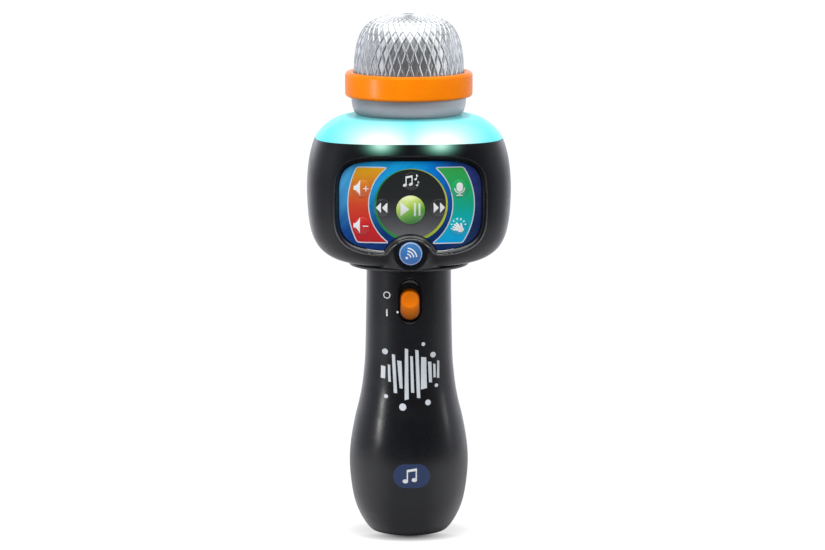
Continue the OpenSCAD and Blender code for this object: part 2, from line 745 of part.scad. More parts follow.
// [half width, z]
shoulder_ctrl = [
    [shoulder_hw, 190.8], [43.6, 193.3], [41.6, 196.0], [38.4, 198.7],
    [34.2, 200.7], [30.0, 201.8], [26.0, 202.3], [18.0, 202.35]];
function shoulder_depth(half_w) = half_w > shoulder_round
    ? shoulder_round + (shoulder_hd - shoulder_round)
        * pow((half_w - shoulder_round) / (shoulder_hw - shoulder_round), 0.9)
    : half_w;
function shoulder_squareness(half_w) =
    2 + 0.78 * min(1, max(0, (half_w - shoulder_round) / 16));
shoulder_out = curve(shoulder_ctrl, 2);
shoulder_raw = inward(shoulder_out, 1.9);
// Inner profile, with its bottom end level with the outer one and its top end in line with it
shoulder_in = let (last = len(shoulder_raw) - 1) [for (i = [0 : last])
    [i == last ? shoulder_out[i][0] : shoulder_raw[i][0],
     i == 0 ? shoulder_out[i][1] : shoulder_raw[i][1]]];
function shoulder_stations(profile) = [for (i = [0 : len(profile) - 1])
    let (half_w = profile[i][0], outer_w = shoulder_out[i][0])
    [half_w, shoulder_depth(outer_w) - (outer_w - half_w), shoulder_squareness(outer_w),
        profile[i][1]]];

module light_diffuser() color([0.45, 0.98, 0.97, 0.85]) difference() {
    skin(shoulder_stations(shoulder_out), shoulder_stations(shoulder_in), 0, 360, 56);
    posts(post_angles, post_reach, 190, 20, 1.3);
}

// ---------- grille ----------
grille_angles = [90 : 120 : 330]; // grille screws
grille_reach = 21.2;
cup_z0 = 202.55;
cup_z1 = 213.3;
// [radius, z]
cup_ctrl = [
    [24.0, cup_z0], [25.3, 203.1], [26.3, 204.4], [27.0, 206.4],
    [27.3, 208.6], [27.5, 211], [27.6, cup_z1]];

module grille_cup() color([0.62, 0.62, 0.65]) difference() {
    union() {
        difference() {
            rotate_extrude() polygon(concat([[0, cup_z0]], curve(cup_ctrl, 3), [[0, cup_z1]]));
            rotate_extrude() polygon([
                [0, 204.4], [23.6, 204.4], [24.6, 206.5], [25.4, 210], [25.6, 214], [0, 214]]);
        }
        posts(grille_angles, grille_reach, 203.5, 12, 2.6);
    }
    disc(190, 30, 6);
    posts(grille_angles, grille_reach, 205.4, 40, 1.02);
    posts(post_angles, post_reach, 190, 15.5, 1.3);
}
module cup_screws() color("silver") at_angles(post_angles, post_reach) screw_z(193, 204.45);

module grip_ring() color([1, 0.53, 0.03]) rotate_extrude() {
    fillet = 1.5;
    difference() {
        union() {
            translate([26.4, ring_z0]) square([ring_r - fillet - 26.4, ring_z1 - ring_z0]);
            translate([26.5, ring_z0 + fillet])
                square([ring_r - 26.5, ring_z1 - ring_z0 - 2 * fillet]);
            for (z = [ring_z0 + fillet, ring_z1 - fillet])
                translate([ring_r - fillet, z]) circle(r = fillet);
        }
        translate([20, ring_z0 - 1]) square([27.75 - 20, 215.2 - ring_z0 + 1]);
    }
}

dome_wall = 1.9;
// [radius, z]
dome_ctrl = [
    [26.25, 215.0], [26.25, 222], [26.2, 226.5], [25.8, 231], [25.1, 235.5], [23.9, 239.6],
    [21.9, 243.3], [18.8, 246.2], [14.6, 248.2], [9.4, 249.4], [4.4, 249.9], [0, dome_top]];
dome_out = curve(dome_ctrl, 3);

module grille_dome() color([0.75, 0.75, 0.77]) difference() {
    union() {
        rotate_extrude() polygon(concat([[0, 215]], dome_out));
        disc(213.4, 1.7, 27.55);
    }
    rotate_extrude() polygon(concat(
        [[0, 212], [24.35, 212], [24.35, 221]],
        trimmed(inward(dome_out, dome_wall), 222),
        [[0, dome_top - dome_wall]]));
}

function foam_outline(depth, radius, low_z) = concat(
    [[0, low_z], [radius, low_z]],
    trimmed(inward(dome_out, depth), low_z + 0.2),
    [[0, dome_top - depth - 0.05]]);
module foam_liner() color([0.1, 0.1, 0.1]) rotate_extrude() difference() {
    polygon(foam_outline(2.2, 24.0, 226.2));
    polygon(foam_outline(5.2, 21.0, 226));
}

// ---------- microphone ----------
module mic_holder() color([0.12, 0.12, 0.13]) difference() {
    union() {
        disc(215.6, 1.8, 23.9);
        disc(215.6, 7, 9.4);
    }
    disc(210, 20, 7.4);
    posts(grille_angles, grille_reach, 210, 10, 1.05);
    posts([30 : 60 : 330], 15.6, 210, 10, 3.2);
}
module mic_boot() color([0.08, 0.08, 0.08]) difference() {
    union() {
        disc(216, 9.5, 7.3);
        disc(222.7, 2.8, 8.6);
    }
    disc(219, 10, 4.9);
    disc(210, 12, 2.2);
}
module mic_capsule() color("silver") {
    disc(219.1, 6.2, 4.82);
    disc(225.2, 0.4, 3.9);
}
module mic_wires() color([0.8, 0.8, 0.8]) { // down the axis, then forward to the main board
    bend_z = 184;
    wire_r = 0.5;
    for (x = [-1.1, 1.1]) {
        translate([x, 0, bend_z]) cylinder(r = wire_r, h = 35);
        wire_bend(x, -wire_bend_r, bend_z, -90, wire_r);
        rod_y(x, bend_z - wire_bend_r, board_y, -wire_bend_r, wire_r);
    }
}
module grille_screws() color("silver")
    at_angles(grille_angles, grille_reach) screw_z(207, 217.45);

handle_front_shell();
handle_rear_shell();
battery_door();
door_screw();
battery_tray();
battery_cells();
battery_springs();
contact_plates();
handle_screws();
switch_knob();
switch_lever();
switch_body();
switch_board();
switch_board_screws();
power_wire_red();
power_wire_black();
neck_collar();
head_front_shell();
head_rear_shell();
head_screws();
control_panel();
volume_up_button();
volume_down_button();
previous_button();
next_button();
song_button();
play_button();
voice_button();
clap_button();
pairing_button();
keypad_mat();
main_board();
board_chips();
board_screws();
speaker_basket();
speaker_magnet();
speaker_cone();
speaker_gasket();
speaker_screws();
speaker_wires();
reflector_plate();
led_board();
leds();
light_diffuser();
grille_cup();
cup_screws();
grip_ring();
grille_dome();
foam_liner();
mic_holder();
mic_boot();
mic_capsule();
mic_wires();
grille_screws();
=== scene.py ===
"""A hand-held toy microphone standing upright on a pale floor.

It stands on z = 0 with its axis along +Z. The front, with the printed panel and the keys, faces -Y,
and +X is on the right as seen from the front. From the floor up: handle with power switch and
battery door, collar, head with the panel, glowing shoulder, grey cup, orange band, silver dome.
Shapes are in millimetres and become metres in link(). Shaders, lights and camera are in metres.
"""
import json
import math

import bmesh
import bpy
import numpy as np
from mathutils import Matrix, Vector

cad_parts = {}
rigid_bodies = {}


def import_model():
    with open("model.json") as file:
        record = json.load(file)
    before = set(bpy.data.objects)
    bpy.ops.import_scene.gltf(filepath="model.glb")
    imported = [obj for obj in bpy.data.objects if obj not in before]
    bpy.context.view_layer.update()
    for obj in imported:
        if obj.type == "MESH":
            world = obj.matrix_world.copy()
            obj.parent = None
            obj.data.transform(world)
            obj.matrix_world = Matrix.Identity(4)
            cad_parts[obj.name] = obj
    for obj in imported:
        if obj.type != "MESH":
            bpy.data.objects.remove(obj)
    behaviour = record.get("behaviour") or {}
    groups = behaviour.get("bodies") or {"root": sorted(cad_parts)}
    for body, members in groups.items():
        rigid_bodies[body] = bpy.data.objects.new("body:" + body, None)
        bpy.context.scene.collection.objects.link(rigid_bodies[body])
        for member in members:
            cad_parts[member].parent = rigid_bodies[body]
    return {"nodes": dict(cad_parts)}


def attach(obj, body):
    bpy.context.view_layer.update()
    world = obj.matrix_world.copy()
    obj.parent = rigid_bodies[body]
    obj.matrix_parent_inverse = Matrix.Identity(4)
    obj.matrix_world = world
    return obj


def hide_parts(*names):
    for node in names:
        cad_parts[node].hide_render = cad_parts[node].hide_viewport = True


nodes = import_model()["nodes"]
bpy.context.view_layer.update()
ROOT = "microphone_body"
MM = 0.001


# ---------------------------------------------------------------- curves and outlines
def curve(points, steps):
    """Catmull-Rom through points, with that many samples a span."""
    points = np.array(points, float)
    last = len(points) - 1
    out = []
    for i in range(last):
        before, start, end = points[max(i - 1, 0)], points[i], points[i + 1]
        after = points[min(i + 2, last)]
        for j in range(steps):
            t = j / steps
            out.append(0.5 * (2 * start + (end - before) * t
                              + (2 * before - 5 * start + 4 * end - after) * t * t
                              + (3 * start - before - 3 * end + after) * t ** 3))
    out.append(points[-1])
    return np.array(out)


def normals(points, closed=False):
    """Unit normals, to the left of the direction of travel."""
    if closed:
        along = np.roll(points, -1, 0) - np.roll(points, 1, 0)
    else:
        along = np.gradient(points, axis=0)
    along /= np.linalg.norm(along, axis=1)[:, None]
    return np.stack([-along[:, 1], along[:, 0]], 1)


def inward(points, depth):
    return points + depth * normals(points)


def lengths(points):
    """Distance travelled at each point."""
    return np.concatenate([[0], np.cumsum(np.linalg.norm(np.diff(points, axis=0), axis=1))])


def resample(points, step):
    """Even points round a closed outline."""
    ring = np.vstack([points, points[:1]])
    travelled = lengths(ring)
    count = int(round(travelled[-1] / step))
    even = np.linspace(0, travelled[-1], count + 1)
    return np.stack([np.interp(even, travelled, ring[:, i]) for i in range(2)], 1)[:-1]


def smooth(points, times):
    for _ in range(times):
        points = 0.25 * np.roll(points, 1, 0) + 0.5 * points + 0.25 * np.roll(points, -1, 0)
    return points


def arc(x, z, radius, angles):
    """Points at the given angles, in radians."""
    return [(x + radius * math.cos(a), z + radius * math.sin(a)) for a in angles]


def around(x, z, radius, count):
    return arc(x, z, radius, [2 * math.pi * i / count for i in range(count)])


def circle(x, z, radius, count):
    return arc(x, z, radius, np.radians(np.linspace(0, 360, count + 1)[:count]))


def full_turn(count):
    return np.linspace(0, 2 * math.pi, count + 1)[:-1]


def ellipse(x, z, half_x, half_z, count):
    return [(x + half_x * math.cos(a), z + half_z * math.sin(a)) for a in full_turn(count)]


def moved(points, x, z, scale=1):
    return [(x + scale * across, z + scale * up) for across, up in points]


def rect(x, z, width, height):
    return [(x - width / 2, z - height / 2), (x + width / 2, z - height / 2),
            (x + width / 2, z + height / 2), (x - width / 2, z + height / 2)]


def stadium(low, high, radius, count=24):
    """Outline of a vertical slot, between the centres of its two ends."""
    half = [math.pi * i / count for i in range(count + 1)]
    return arc(0, high, radius, half) + arc(0, low, -radius, half)


def signed_power(value, exponent):
    return math.copysign(abs(value) ** exponent, value) if abs(value) > 1e-9 else 0.0


def superellipse(half_x, half_y, exponent, angle):
    return (half_x * signed_power(math.cos(angle), 2 / exponent),
            half_y * signed_power(math.sin(angle), 2 / exponent))


def even_angles(half_x, half_y, exponent, start, count):
    """Angles in degrees that space points evenly round half of a superellipse."""
    angles = np.linspace(start, start + 180, 4001)
    travelled = lengths(np.array([superellipse(half_x, half_y, exponent, math.radians(a))
                                  for a in angles]))
    return np.interp(np.linspace(0, travelled[-1], count), travelled, angles)


def smooth_max(first, second, width):
    share = min(1, max(0, 0.5 + 0.5 * (second - first) / width))
    return first * (1 - share) + second * share + width * share * (1 - share)


# ---------------------------------------------------------------- solids, as (vertices, faces)
def grid_faces(rows, columns, closed_rows=False, closed_columns=False, base=0):
    """Faces of a grid of vertices, rows first."""
    faces = []
    for i in range(rows if closed_rows else rows - 1):
        for j in range(columns if closed_columns else columns - 1):
            here, there = base + i * columns, base + (i + 1) % rows * columns
            k = (j + 1) % columns
            faces.append((here + j, there + j, there + k, here + k))
    return faces


def half_shell_faces(rows, columns):
    """Closed sections joined in order, with both ends capped."""
    return grid_faces(rows, columns, False, True) + [
        tuple(range(columns)),
        tuple(range(rows * columns - 1, (rows - 1) * columns - 1, -1))]


def turned(profile, count, place=lambda x, y, z: (x, y, z)):
    """A closed profile of (radius, height) turned all the way round."""
    verts = []
    for i in range(count):
        angle = math.radians(360 * i / count)
        verts += [place(radius * math.cos(angle), radius * math.sin(angle), height)
                  for radius, height in profile]
    return verts, grid_faces(count, len(profile), True, True)


def along_y(x, z, low, high, radius, count=40):
    verts = [(a, y, b) for y in (low, high) for a, b in around(x, z, radius, count)]
    caps = [tuple(range(count)), tuple(range(2 * count - 1, count - 1, -1))]
    return verts, caps + grid_faces(2, count, False, True)


def along_z(low, high, radius, count=64):
    """A cylinder on the axis."""
    verts = [(x, y, z) for z in (low, high) for x, y in around(0, 0, radius, count)]
    caps = [tuple(range(count - 1, -1, -1)), tuple(range(count, 2 * count))]
    return verts, caps + grid_faces(2, count, False, True)


def loft(rings):
    """Rings of equal length joined in order, with both ends capped."""
    size = len(rings[0])
    faces = grid_faces(len(rings), size, False, True)
    faces.append(tuple(range(size - 1, -1, -1)))
    faces.append(tuple(range((len(rings) - 1) * size, len(rings) * size)))
    return [point for ring in rings for point in ring], faces


def loft_y(sections):
    """Loft of (y, outline) sections; the outlines are (x, z)."""
    return loft([[(x, y, z) for x, z in outline] for y, outline in sections])


def prism_y(outline, low, high):
    return loft_y([(low, outline), (high, outline)])


# ---------------------------------------------------------------- objects
materials = {}      # Material by name


def soften(obj, angle):
    mesh = obj.data
    mesh.polygons.foreach_set("use_smooth", [True] * len(mesh.polygons))
    mesh.set_sharp_from_angle(angle=math.radians(angle))


def link(name, shape, material, body=ROOT, angle=35, replaces=(), recalc=True,
         merge=0.0):
    """Makes an object; edges sharper than angle, in degrees, stay sharp."""
    bm = bmesh.new()
    verts = [bm.verts.new(Vector(point) * MM) for point in shape[0]]
    for face in shape[1]:
        try:
            bm.faces.new([verts[i] for i in face])
        except ValueError:      # passes over a face that bmesh refuses, such as a repeated one
            pass
    if merge:
        bmesh.ops.remove_doubles(bm, verts=bm.verts, dist=merge * MM)
    if recalc:
        bmesh.ops.recalc_face_normals(bm, faces=bm.faces)
    mesh = bpy.data.meshes.new(name)
    bm.to_mesh(mesh)
    bm.free()
    obj = bpy.data.objects.new(name, mesh)
    bpy.context.scene.collection.objects.link(obj)
    if material:
        mesh.materials.append(materials[material].data)
    soften(obj, angle)
    if body:
        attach(obj, body)
    if replaces:
        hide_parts(*replaces)
    return obj


def boolean(obj, shapes, operation="DIFFERENCE", angle=35):
    """Combines obj with each shape in turn and keeps the result as its mesh."""
    cutters = [link("cutter", shape, None, None) for shape in shapes]
    for cutter in cutters:
        modifier = obj.modifiers.new("cut", "BOOLEAN")
        modifier.object, modifier.operation, modifier.solver = cutter, operation, "EXACT"
    graph = bpy.context.evaluated_depsgraph_get()
    mesh = bpy.data.meshes.new_from_object(obj.evaluated_get(graph))
    obj.modifiers.clear()
    before = list(obj.data.materials)
    obj.data = mesh
    # the cutters have no material, so slots and indices may need mending
    if not mesh.materials:
        for material in before:
            mesh.materials.append(material)
    for face in mesh.polygons:
        if face.material_index >= max(1, len(mesh.materials)):
            face.material_index = 0
    for cutter in cutters:
        bpy.data.objects.remove(cutter)
    soften(obj, angle)


# ---------------------------------------------------------------- shader helpers
def srgb(*levels):
    """A linear colour from 0-255 levels."""
    linear = []
    for level in levels:
        level /= 255
        linear.append(level / 12.92 if level <= 0.04045 else ((level + 0.055) / 1.055) ** 2.4)
    return (*linear, 1)


def srgb_stops(rows):
    """Ramp stops from rows of (position, red, green, blue)."""
    return [(position, srgb(*levels)) for position, *levels in rows]


def grey(value):
    return (value, value, value, 1)


class Tree:
    """Short calls that make and wire shader nodes."""

    def __init__(self, tree):
        self.tree = tree

    def feed(self, socket, value):
        """Wires an output into the socket, or sets it to a plain value."""
        if isinstance(value, bpy.types.NodeSocket):
            self.tree.links.new(value, socket)
        else:
            socket.default_value = value

    def new(self, kind, inputs=None, **settings):
        node = self.tree.nodes.new(kind)
        for key, value in settings.items():
            setattr(node, key, value)
        for key, value in (inputs or {}).items():
            self.feed(node.inputs[key], value)
        return node

    def ramp(self, factor, stops):
        node = self.new("ShaderNodeValToRGB", {"Fac": factor})
        elements = node.color_ramp.elements
        while len(elements) > 1:
            elements.remove(elements[-1])
        elements[0].position, elements[0].color = stops[0]
        for position, colour in stops[1:]:
            elements.new(position).color = colour
        return node.outputs["Color"]

    def calc(self, operation, *values):
        inputs = dict(enumerate(values))
        return self.new("ShaderNodeMath", inputs, operation=operation).outputs[0]

    def add(self, first, second):
        return self.calc("ADD", first, second)

    def sub(self, first, second):
        return self.calc("SUBTRACT", first, second)

    def mul(self, first, second):
        return self.calc("MULTIPLY", first, second)

    def div(self, first, second):
        return self.calc("DIVIDE", first, second)

    def sum_squares(self, first, second):
        return self.add(self.mul(first, first), self.mul(second, second))

    def span(self, value, low, high, start=0.0, end=1.0, **settings):
        """Maps low..high to start..end."""
        inputs = {"Value": value, "From Min": low, "From Max": high,
                  "To Min": start, "To Max": end}
        return self.new("ShaderNodeMapRange", inputs, **settings).outputs["Result"]

    def xyz(self, coords):
        return self.new("ShaderNodeSeparateXYZ", {0: coords}).outputs

    def mix(self, factor, first, second, blend="MIX"):
        return self.new("ShaderNodeMix", {0: factor, 6: first, 7: second},
                        data_type="RGBA", blend_type=blend).outputs[2]

    def rays(self):
        return self.new("ShaderNodeLightPath").outputs


class Material(Tree):
    """A material's tree, with object coordinates at hand."""

    def __init__(self, name):
        self.data = bpy.data.materials.new(name)
        self.data.use_nodes = True
        super().__init__(self.data.node_tree)
        self.bsdf = self.tree.nodes["Principled BSDF"]
        self.coords = self.new("ShaderNodeTexCoord").outputs["Object"]
        materials[name] = self

    def surface(self, values):
        for key, value in values.items():
            self.feed(self.bsdf.inputs[key], value)

    def base_source(self):
        return self.bsdf.inputs["Base Color"].links[0].from_socket

    def position(self):
        return self.xyz(self.coords)

    def own_position(self):
        return self.xyz(self.new("ShaderNodeTexCoord").outputs["Object"])

    def noise(self, scale, detail=3, rough=0.55, stretch=None):
        coords = self.coords
        if stretch:
            coords = self.new("ShaderNodeMapping", {"Scale": stretch, "Vector": coords}).outputs[0]
        inputs = {"Scale": scale, "Detail": detail, "Roughness": rough, "Vector": coords}
        return self.new("ShaderNodeTexNoise", inputs).outputs["Fac"]

    def bump(self, height, strength, distance):
        inputs = {"Strength": strength, "Distance": distance, "Height": height}
        self.surface({"Normal": self.new("ShaderNodeBump", inputs).outputs[0]})

    def finish(self, rough, grain=1500, bump=0.02, coat=0.0, metallic=0.0, spec=0.5):
        """Roughness that varies a little, and a fine moulded grain."""
        self.surface({
            "Roughness": self.span(self.noise(220, detail=2), 0.3, 0.7, *rough),
            "Metallic": metallic, "IOR": 1.5, "Specular IOR Level": spec,
            "Coat Weight": coat, "Coat Roughness": 0.05})
        if bump:
            self.bump(self.noise(grain), bump, 0.0002)


def plastic(name, colour, colour_2=None, rough=(0.3, 0.36), grain=1800, bump=0.05, **finish):
    """Mottled between two 0-255 colours; the second is a lighter first if not given."""
    shader = Material(name)
    first = srgb(*colour)
    if colour_2:
        second = srgb(*colour_2)
    else:
        second = tuple(min(1, level * 1.25 + 0.002) for level in first[:3]) + (1,)
    mottle = shader.ramp(shader.noise(90, detail=4), [(0.35, first), (0.7, second)])
    shader.surface({"Base Color": mottle})
    shader.finish(rough, grain, bump, **finish)
    return shader


def metal(name, colour, rough=(0.25, 0.4)):
    """Brushed metal of a linear colour."""
    shader = Material(name)
    brushing = shader.noise(400, rough=0.6, stretch=(1, 1, 30))
    dim = tuple(level * 0.82 for level in colour) + (1,)
    shader.surface({"Base Color": shader.ramp(brushing, [(0.3, dim), (0.7, (*colour, 1))]),
                    "Roughness": shader.span(brushing, 0.3, 0.7, *rough), "Metallic": 1.0})
    shader.bump(brushing, 0.08, 0.0001)


def gradient(name, direction, low, high, rows, coat=0.3):
    """A printed colour that runs along a direction in x and z, from low to high in millimetres."""
    shader = Material(name)
    x, _, z = shader.position()
    along = shader.add(shader.mul(x, direction[0]), shader.mul(z, direction[1]))
    colour = shader.ramp(shader.span(along, low * MM, high * MM), srgb_stops(rows))
    speckle = shader.ramp(shader.noise(2500, detail=2), [(0.35, grey(0.35)), (0.65, grey(1))])
    shader.surface({"Base Color": shader.mix(0.06, colour, speckle, "MULTIPLY")})
    shader.finish((0.2, 0.26), coat=coat)


# ---------------------------------------------------------------- plain materials
BLACK = (17, 18, 22)
BLACK_2 = (21, 22, 26)
BLACK_FINISH = dict(rough=(0.23, 0.28), grain=2600, bump=0.02)
PRINT_FINISH = dict(rough=(0.3, 0.4), bump=0.02)

plastic("black_plastic", BLACK, BLACK_2, **BLACK_FINISH)
plastic("dark_plastic", (34, 34, 36), (42, 42, 44), rough=(0.45, 0.6), bump=0.15)

# the orange band shows a dull brown in surfaces that mirror it
orange = plastic("orange_plastic", (244, 127, 1), (247, 134, 2), rough=(0.26, 0.32), bump=0.02,
                 spec=0.14)
orange.surface({"Base Color": orange.mix(orange.rays()["Is Glossy Ray"], orange.base_source(),
                                         (0.24, 0.17, 0.13, 1))})

# painted shade: the knob darkens towards the foot of its slope, along y, where the slope faces down
knob = plastic("orange_knob", (252, 128, 1), (254, 136, 3), bump=0.02, spec=0.2)
painted_foot_shade = knob.span(knob.own_position()[1], -0.0208, -0.0243, start=0.22)
knob.surface({"Base Color": knob.mix(1.0, knob.base_source(), painted_foot_shade, "MULTIPLY")})

plastic("white_plastic", (226, 226, 222), (236, 236, 232), rough=(0.35, 0.45))
plastic("grey_cup", (176, 181, 189), (182, 187, 195), bump=0.02, metallic=0.2)

# the lip's gloss coat fades out towards the top of the panel
lip = plastic("gloss_lip", (16, 16, 18), (20, 20, 22), rough=(0.14, 0.18), grain=2600, bump=0.01,
              coat=1.0)
lip_gloss = lip.span(lip.own_position()[2], 0.148, 0.180, start=1.0, end=0.04)
lip.surface({"Coat Weight": lip_gloss, "Specular IOR Level": lip.mul(lip_gloss, 0.5)})

plastic("white_print", (238, 240, 244), (248, 249, 252), **PRINT_FINISH)
plastic("silver_print", (205, 211, 220), (222, 227, 234), **PRINT_FINISH)
plastic("frosted_print", (222, 230, 226), (236, 241, 238), **PRINT_FINISH)
plastic("blue_print", (36, 55, 98), (42, 61, 104), rough=(0.25, 0.32), bump=0.02)
metal("screw_steel", (0.62, 0.62, 0.64))
metal("magnet_steel", (0.45, 0.45, 0.47), rough=(0.35, 0.5))
metal("contact_brass", (0.75, 0.55, 0.25))
plastic("battery_sleeve", (190, 160, 70), (205, 176, 90), rough=(0.22, 0.3), bump=0.03,
        metallic=0.7)
for colour_name, levels in (("red", (178, 34, 28)), ("black", (24, 24, 25)),
                            ("grey", (168, 168, 170))):
    plastic(colour_name + "_insulation", levels, rough=(0.4, 0.5), bump=0.1)
plastic("silicone", (205, 204, 196), rough=(0.6, 0.75), bump=0.2)
plastic("chip_black", (30, 30, 31), rough=(0.5, 0.7), bump=0.3, grain=3500)
plastic("basket_paint", (58, 59, 62), rough=(0.35, 0.5), bump=0.1)
plastic("cone_paper", (26, 26, 28), (36, 36, 38), rough=(0.7, 0.9), bump=0.6, grain=900)
plastic("open_foam", (24, 24, 25), (50, 50, 52), rough=(0.9, 1.0), bump=1.0, grain=1400)
plastic("boot_rubber", (26, 26, 26), rough=(0.7, 0.85), bump=0.3)
gradient("pairing_blue", (0, 1), 133, 145, [(0, 48, 108, 188), (1, 74, 140, 205)])
gradient("pairing_rim", (0, 1), 133, 145, [(0, 150, 170, 205), (1, 205, 215, 230)])


def circuit_board():
    shader = Material("circuit_board")
    green = srgb(20, 92, 52)
    bricks = shader.new("ShaderNodeTexBrick", {
        "Scale": 260.0, "Mortar Size": 0.06, "Brick Width": 1.4, "Row Height": 0.45,
        "Color1": green, "Color2": tuple(level * 0.9 for level in green[:3]) + (1,),
        "Mortar": srgb(44, 128, 76), "Vector": shader.coords}, offset=0.5, squash=1.0)
    shader.surface({"Base Color": bricks.outputs["Color"], "Roughness": 0.35})
    shader.bump(bricks.outputs["Fac"], 0.15, 0.0001)


circuit_board()

# ---------------------------------------------------------------- glowing materials
LAMP_X = (-0.0141, 0.0141)


def lamp_spots(shader, x, z, half_x, half_z, centre_z):
    """A soft round spot at each lamp."""
    spots = []
    for lamp_x in LAMP_X:
        across = shader.div(shader.sub(x, lamp_x), half_x)
        up = shader.div(shader.sub(z, centre_z), half_z)
        falloff = shader.mul(shader.sum_squares(across, up), -1.0)
        spots.append(shader.calc("POWER", 2.718, falloff))
    return spots


def head_material():
    """Black plastic, with a painted glow where the lamps just above it light its front."""
    shader = Material("black_head")
    mottle = shader.ramp(shader.noise(90, detail=4), [(0.35, srgb(*BLACK)), (0.7, srgb(*BLACK_2))])
    shader.surface({"Base Color": mottle})
    shader.finish(**BLACK_FINISH)
    x, y, z = shader.position()
    # painted glow: cyan light on the front, just under each lamp
    spots = lamp_spots(shader, x, z, half_x=0.0056, half_z=0.0034, centre_z=0.1906)
    painted_glow = shader.mul(shader.add(*spots), shader.span(y, -0.020, -0.026))
    shader.surface({
        "Emission Color": shader.mix(shader.span(painted_glow, 0.25, 0.95), (0.36, 1.0, 0.74, 1),
                                     (0.60, 1.0, 0.86, 1)),
        "Emission Strength": shader.mul(painted_glow, 0.92),
        # the underside mirrors less
        "Specular IOR Level": shader.span(shader.position()[2], 0.133, 0.150, 0.24, 0.5)})


def shoulder_material():
    """Cyan glow, deeper at the sides and white round the lamps."""
    shader = Material("glowing_plastic")
    x, y, z = shader.position()
    side = shader.span(shader.calc("ABSOLUTE", x), 0.026, 0.047)
    colour = shader.mix(side, (0.165, 0.93, 1.0, 1), (0.06, 0.93, 1.0, 1))
    cloud = shader.ramp(shader.noise(60), [(0.3, (0.08, 0.86, 0.92, 1)), (0.7, (0.25, 1, 1, 1))])
    colour = shader.mix(0.12, colour, cloud)
    spots = lamp_spots(shader, x, z, half_x=0.0155, half_z=0.0078, centre_z=0.1908)
    white = shader.calc("MAXIMUM", *[shader.mul(spot, 1.18) for spot in spots])
    white = shader.mul(shader.calc("MINIMUM", white, 1.0), shader.span(y, 0.004, -0.006))
    colour = shader.mix(white, colour, grey(1.0))
    # painted shade: the flat top next to the cup glows dimmer, as if in the cup's shadow
    shade = shader.mul(shader.span(z, 0.20155, 0.20085, 0.35, 1.0), 0.86)      # dim top edge
    strength = shader.add(shade, shader.mul(white, 0.25))
    # other pieces are lit by less than the camera sees
    seen = shader.add(0.4, shader.mul(shader.rays()["Is Camera Ray"], 0.6))
    shader.bsdf.inputs["Base Color"].default_value = (0.1, 0.3, 0.3, 1)    # if the ramp is unwired
    shader.surface({
        "Base Color": shader.ramp(shader.noise(60), [(0.3, (0.015, 0.09, 0.10, 1)),
                                                     (0.7, (0.025, 0.12, 0.13, 1))]),
        "Emission Color": colour,
        "Emission Strength": shader.mul(strength, seen)})
    shader.finish((0.3, 0.4), spec=0.3)


def lamp_material():
    shader = Material("lamp_lens")
    shader.surface({
        "Emission Color": shader.ramp(shader.noise(300, detail=2),
                                      [(0.3, (0.6, 1, 0.95, 1)), (0.7, grey(1))]),
        "Emission Strength": 2.0,
        "Base Color": (0.8, 0.95, 0.95, 1)})
    shader.finish((0.1, 0.2))


def dome_material():
    shader = Material("silver_dome")
    shader.surface({"Base Color": shader.ramp(shader.noise(120), [(0.3, (0.66, 0.685, 0.71, 1)),
                                                                  (0.7, (0.72, 0.745, 0.77, 1))])})
    shader.finish((0.19, 0.24), bump=0.0, metallic=0.86)


head_material()
shoulder_material()
lamp_material()
dome_material()

# ---------------------------------------------------------------- panel print materials
DISC_X, DISC_Z = 0.25, 162.0            # centre of the disc's rim
RIM_RADIUS = 17.35
FACE_RISE, FACE_RADIUS = 0.55, 16.45    # the disc's face sits a little above the rim's centre

# position, then red, green and blue
PANEL_UPPER = [(0, 86, 178, 234), (0.2, 38, 160, 226), (0.38, 26, 162, 228), (0.53, 14, 166, 236),
               (0.66, 8, 132, 226), (0.8, 24, 86, 170), (0.93, 46, 60, 124), (1, 44, 54, 108)]
PANEL_LOWER = [(0, 24, 78, 156), (0.15, 28, 62, 126), (0.5, 18, 54, 118), (0.74, 22, 50, 104),
               (0.86, 34, 62, 112), (0.96, 34, 50, 92), (1, 34, 46, 84)]
LEFT_PRINT = [(0.0, 190, 34, 44), (0.25, 214, 42, 42), (0.5, 224, 76, 46), (0.75, 224, 126, 40),
              (1.0, 236, 178, 20)]
RIGHT_PRINT = [(0.0, 0, 168, 238), (0.25, 0, 186, 200), (0.5, 20, 180, 146),
               (0.75, 34, 182, 104), (1.0, 62, 180, 80)]
# dark grey disc print, painted lighter towards the bottom as the shading of a shallow dish
DISC_PRINT_AND_SHADE = [(0, 120, 122, 124), (0.2, 92, 93, 96), (0.42, 62, 63, 66), (0.6, 44, 46, 47),
              (1, 38, 44, 43)]
RIM_PRINT = [(0, 40, 132, 74), (0.35, 60, 150, 70), (0.6, 150, 180, 60), (1, 206, 208, 66)]
# green print that pales to cream towards the upper left, partly a painted highlight on the domed
# key
PLAY_PRINT_AND_HIGHLIGHT = [(0, 50, 150, 50), (0.3, 104, 184, 52), (0.55, 176, 214, 84), (0.8, 214, 226, 150),
              (1, 228, 232, 200)]


def panel_colour(shader, x, z):
    """Blue print that darkens downwards, with rays fanning from the lower left."""
    across = shader.span(x, -0.034, 0.034)
    upper = shader.ramp(across, srgb_stops(PANEL_UPPER))
    lower = shader.ramp(across, srgb_stops(PANEL_LOWER))
    fall = shader.span(z, 0.174, 0.146, interpolation_type="SMOOTHSTEP")
    colour = shader.mix(fall, upper, lower)
    fan = shader.calc("ARCTAN2", shader.sub(z, 0.120), shader.add(x, 0.060))
    streaks = shader.new("ShaderNodeTexNoise", {"Scale": 16.0, "Detail": 2.0, "W": fan},
                         noise_dimensions="1D")
    streak_tone = shader.ramp(streaks.outputs["Fac"],
                              [(0.35, (0.55, 0.66, 0.78, 1)), (0.62, grey(1.0))])
    return shader.mix(0.5, colour, streak_tone, "MULTIPLY")


def panel_material():
    shader = Material("panel_print")
    x, _, z = shader.position()
    shader.surface({"Base Color": panel_colour(shader, x, z)})
    shader.finish((0.2, 0.26), spec=0.12)


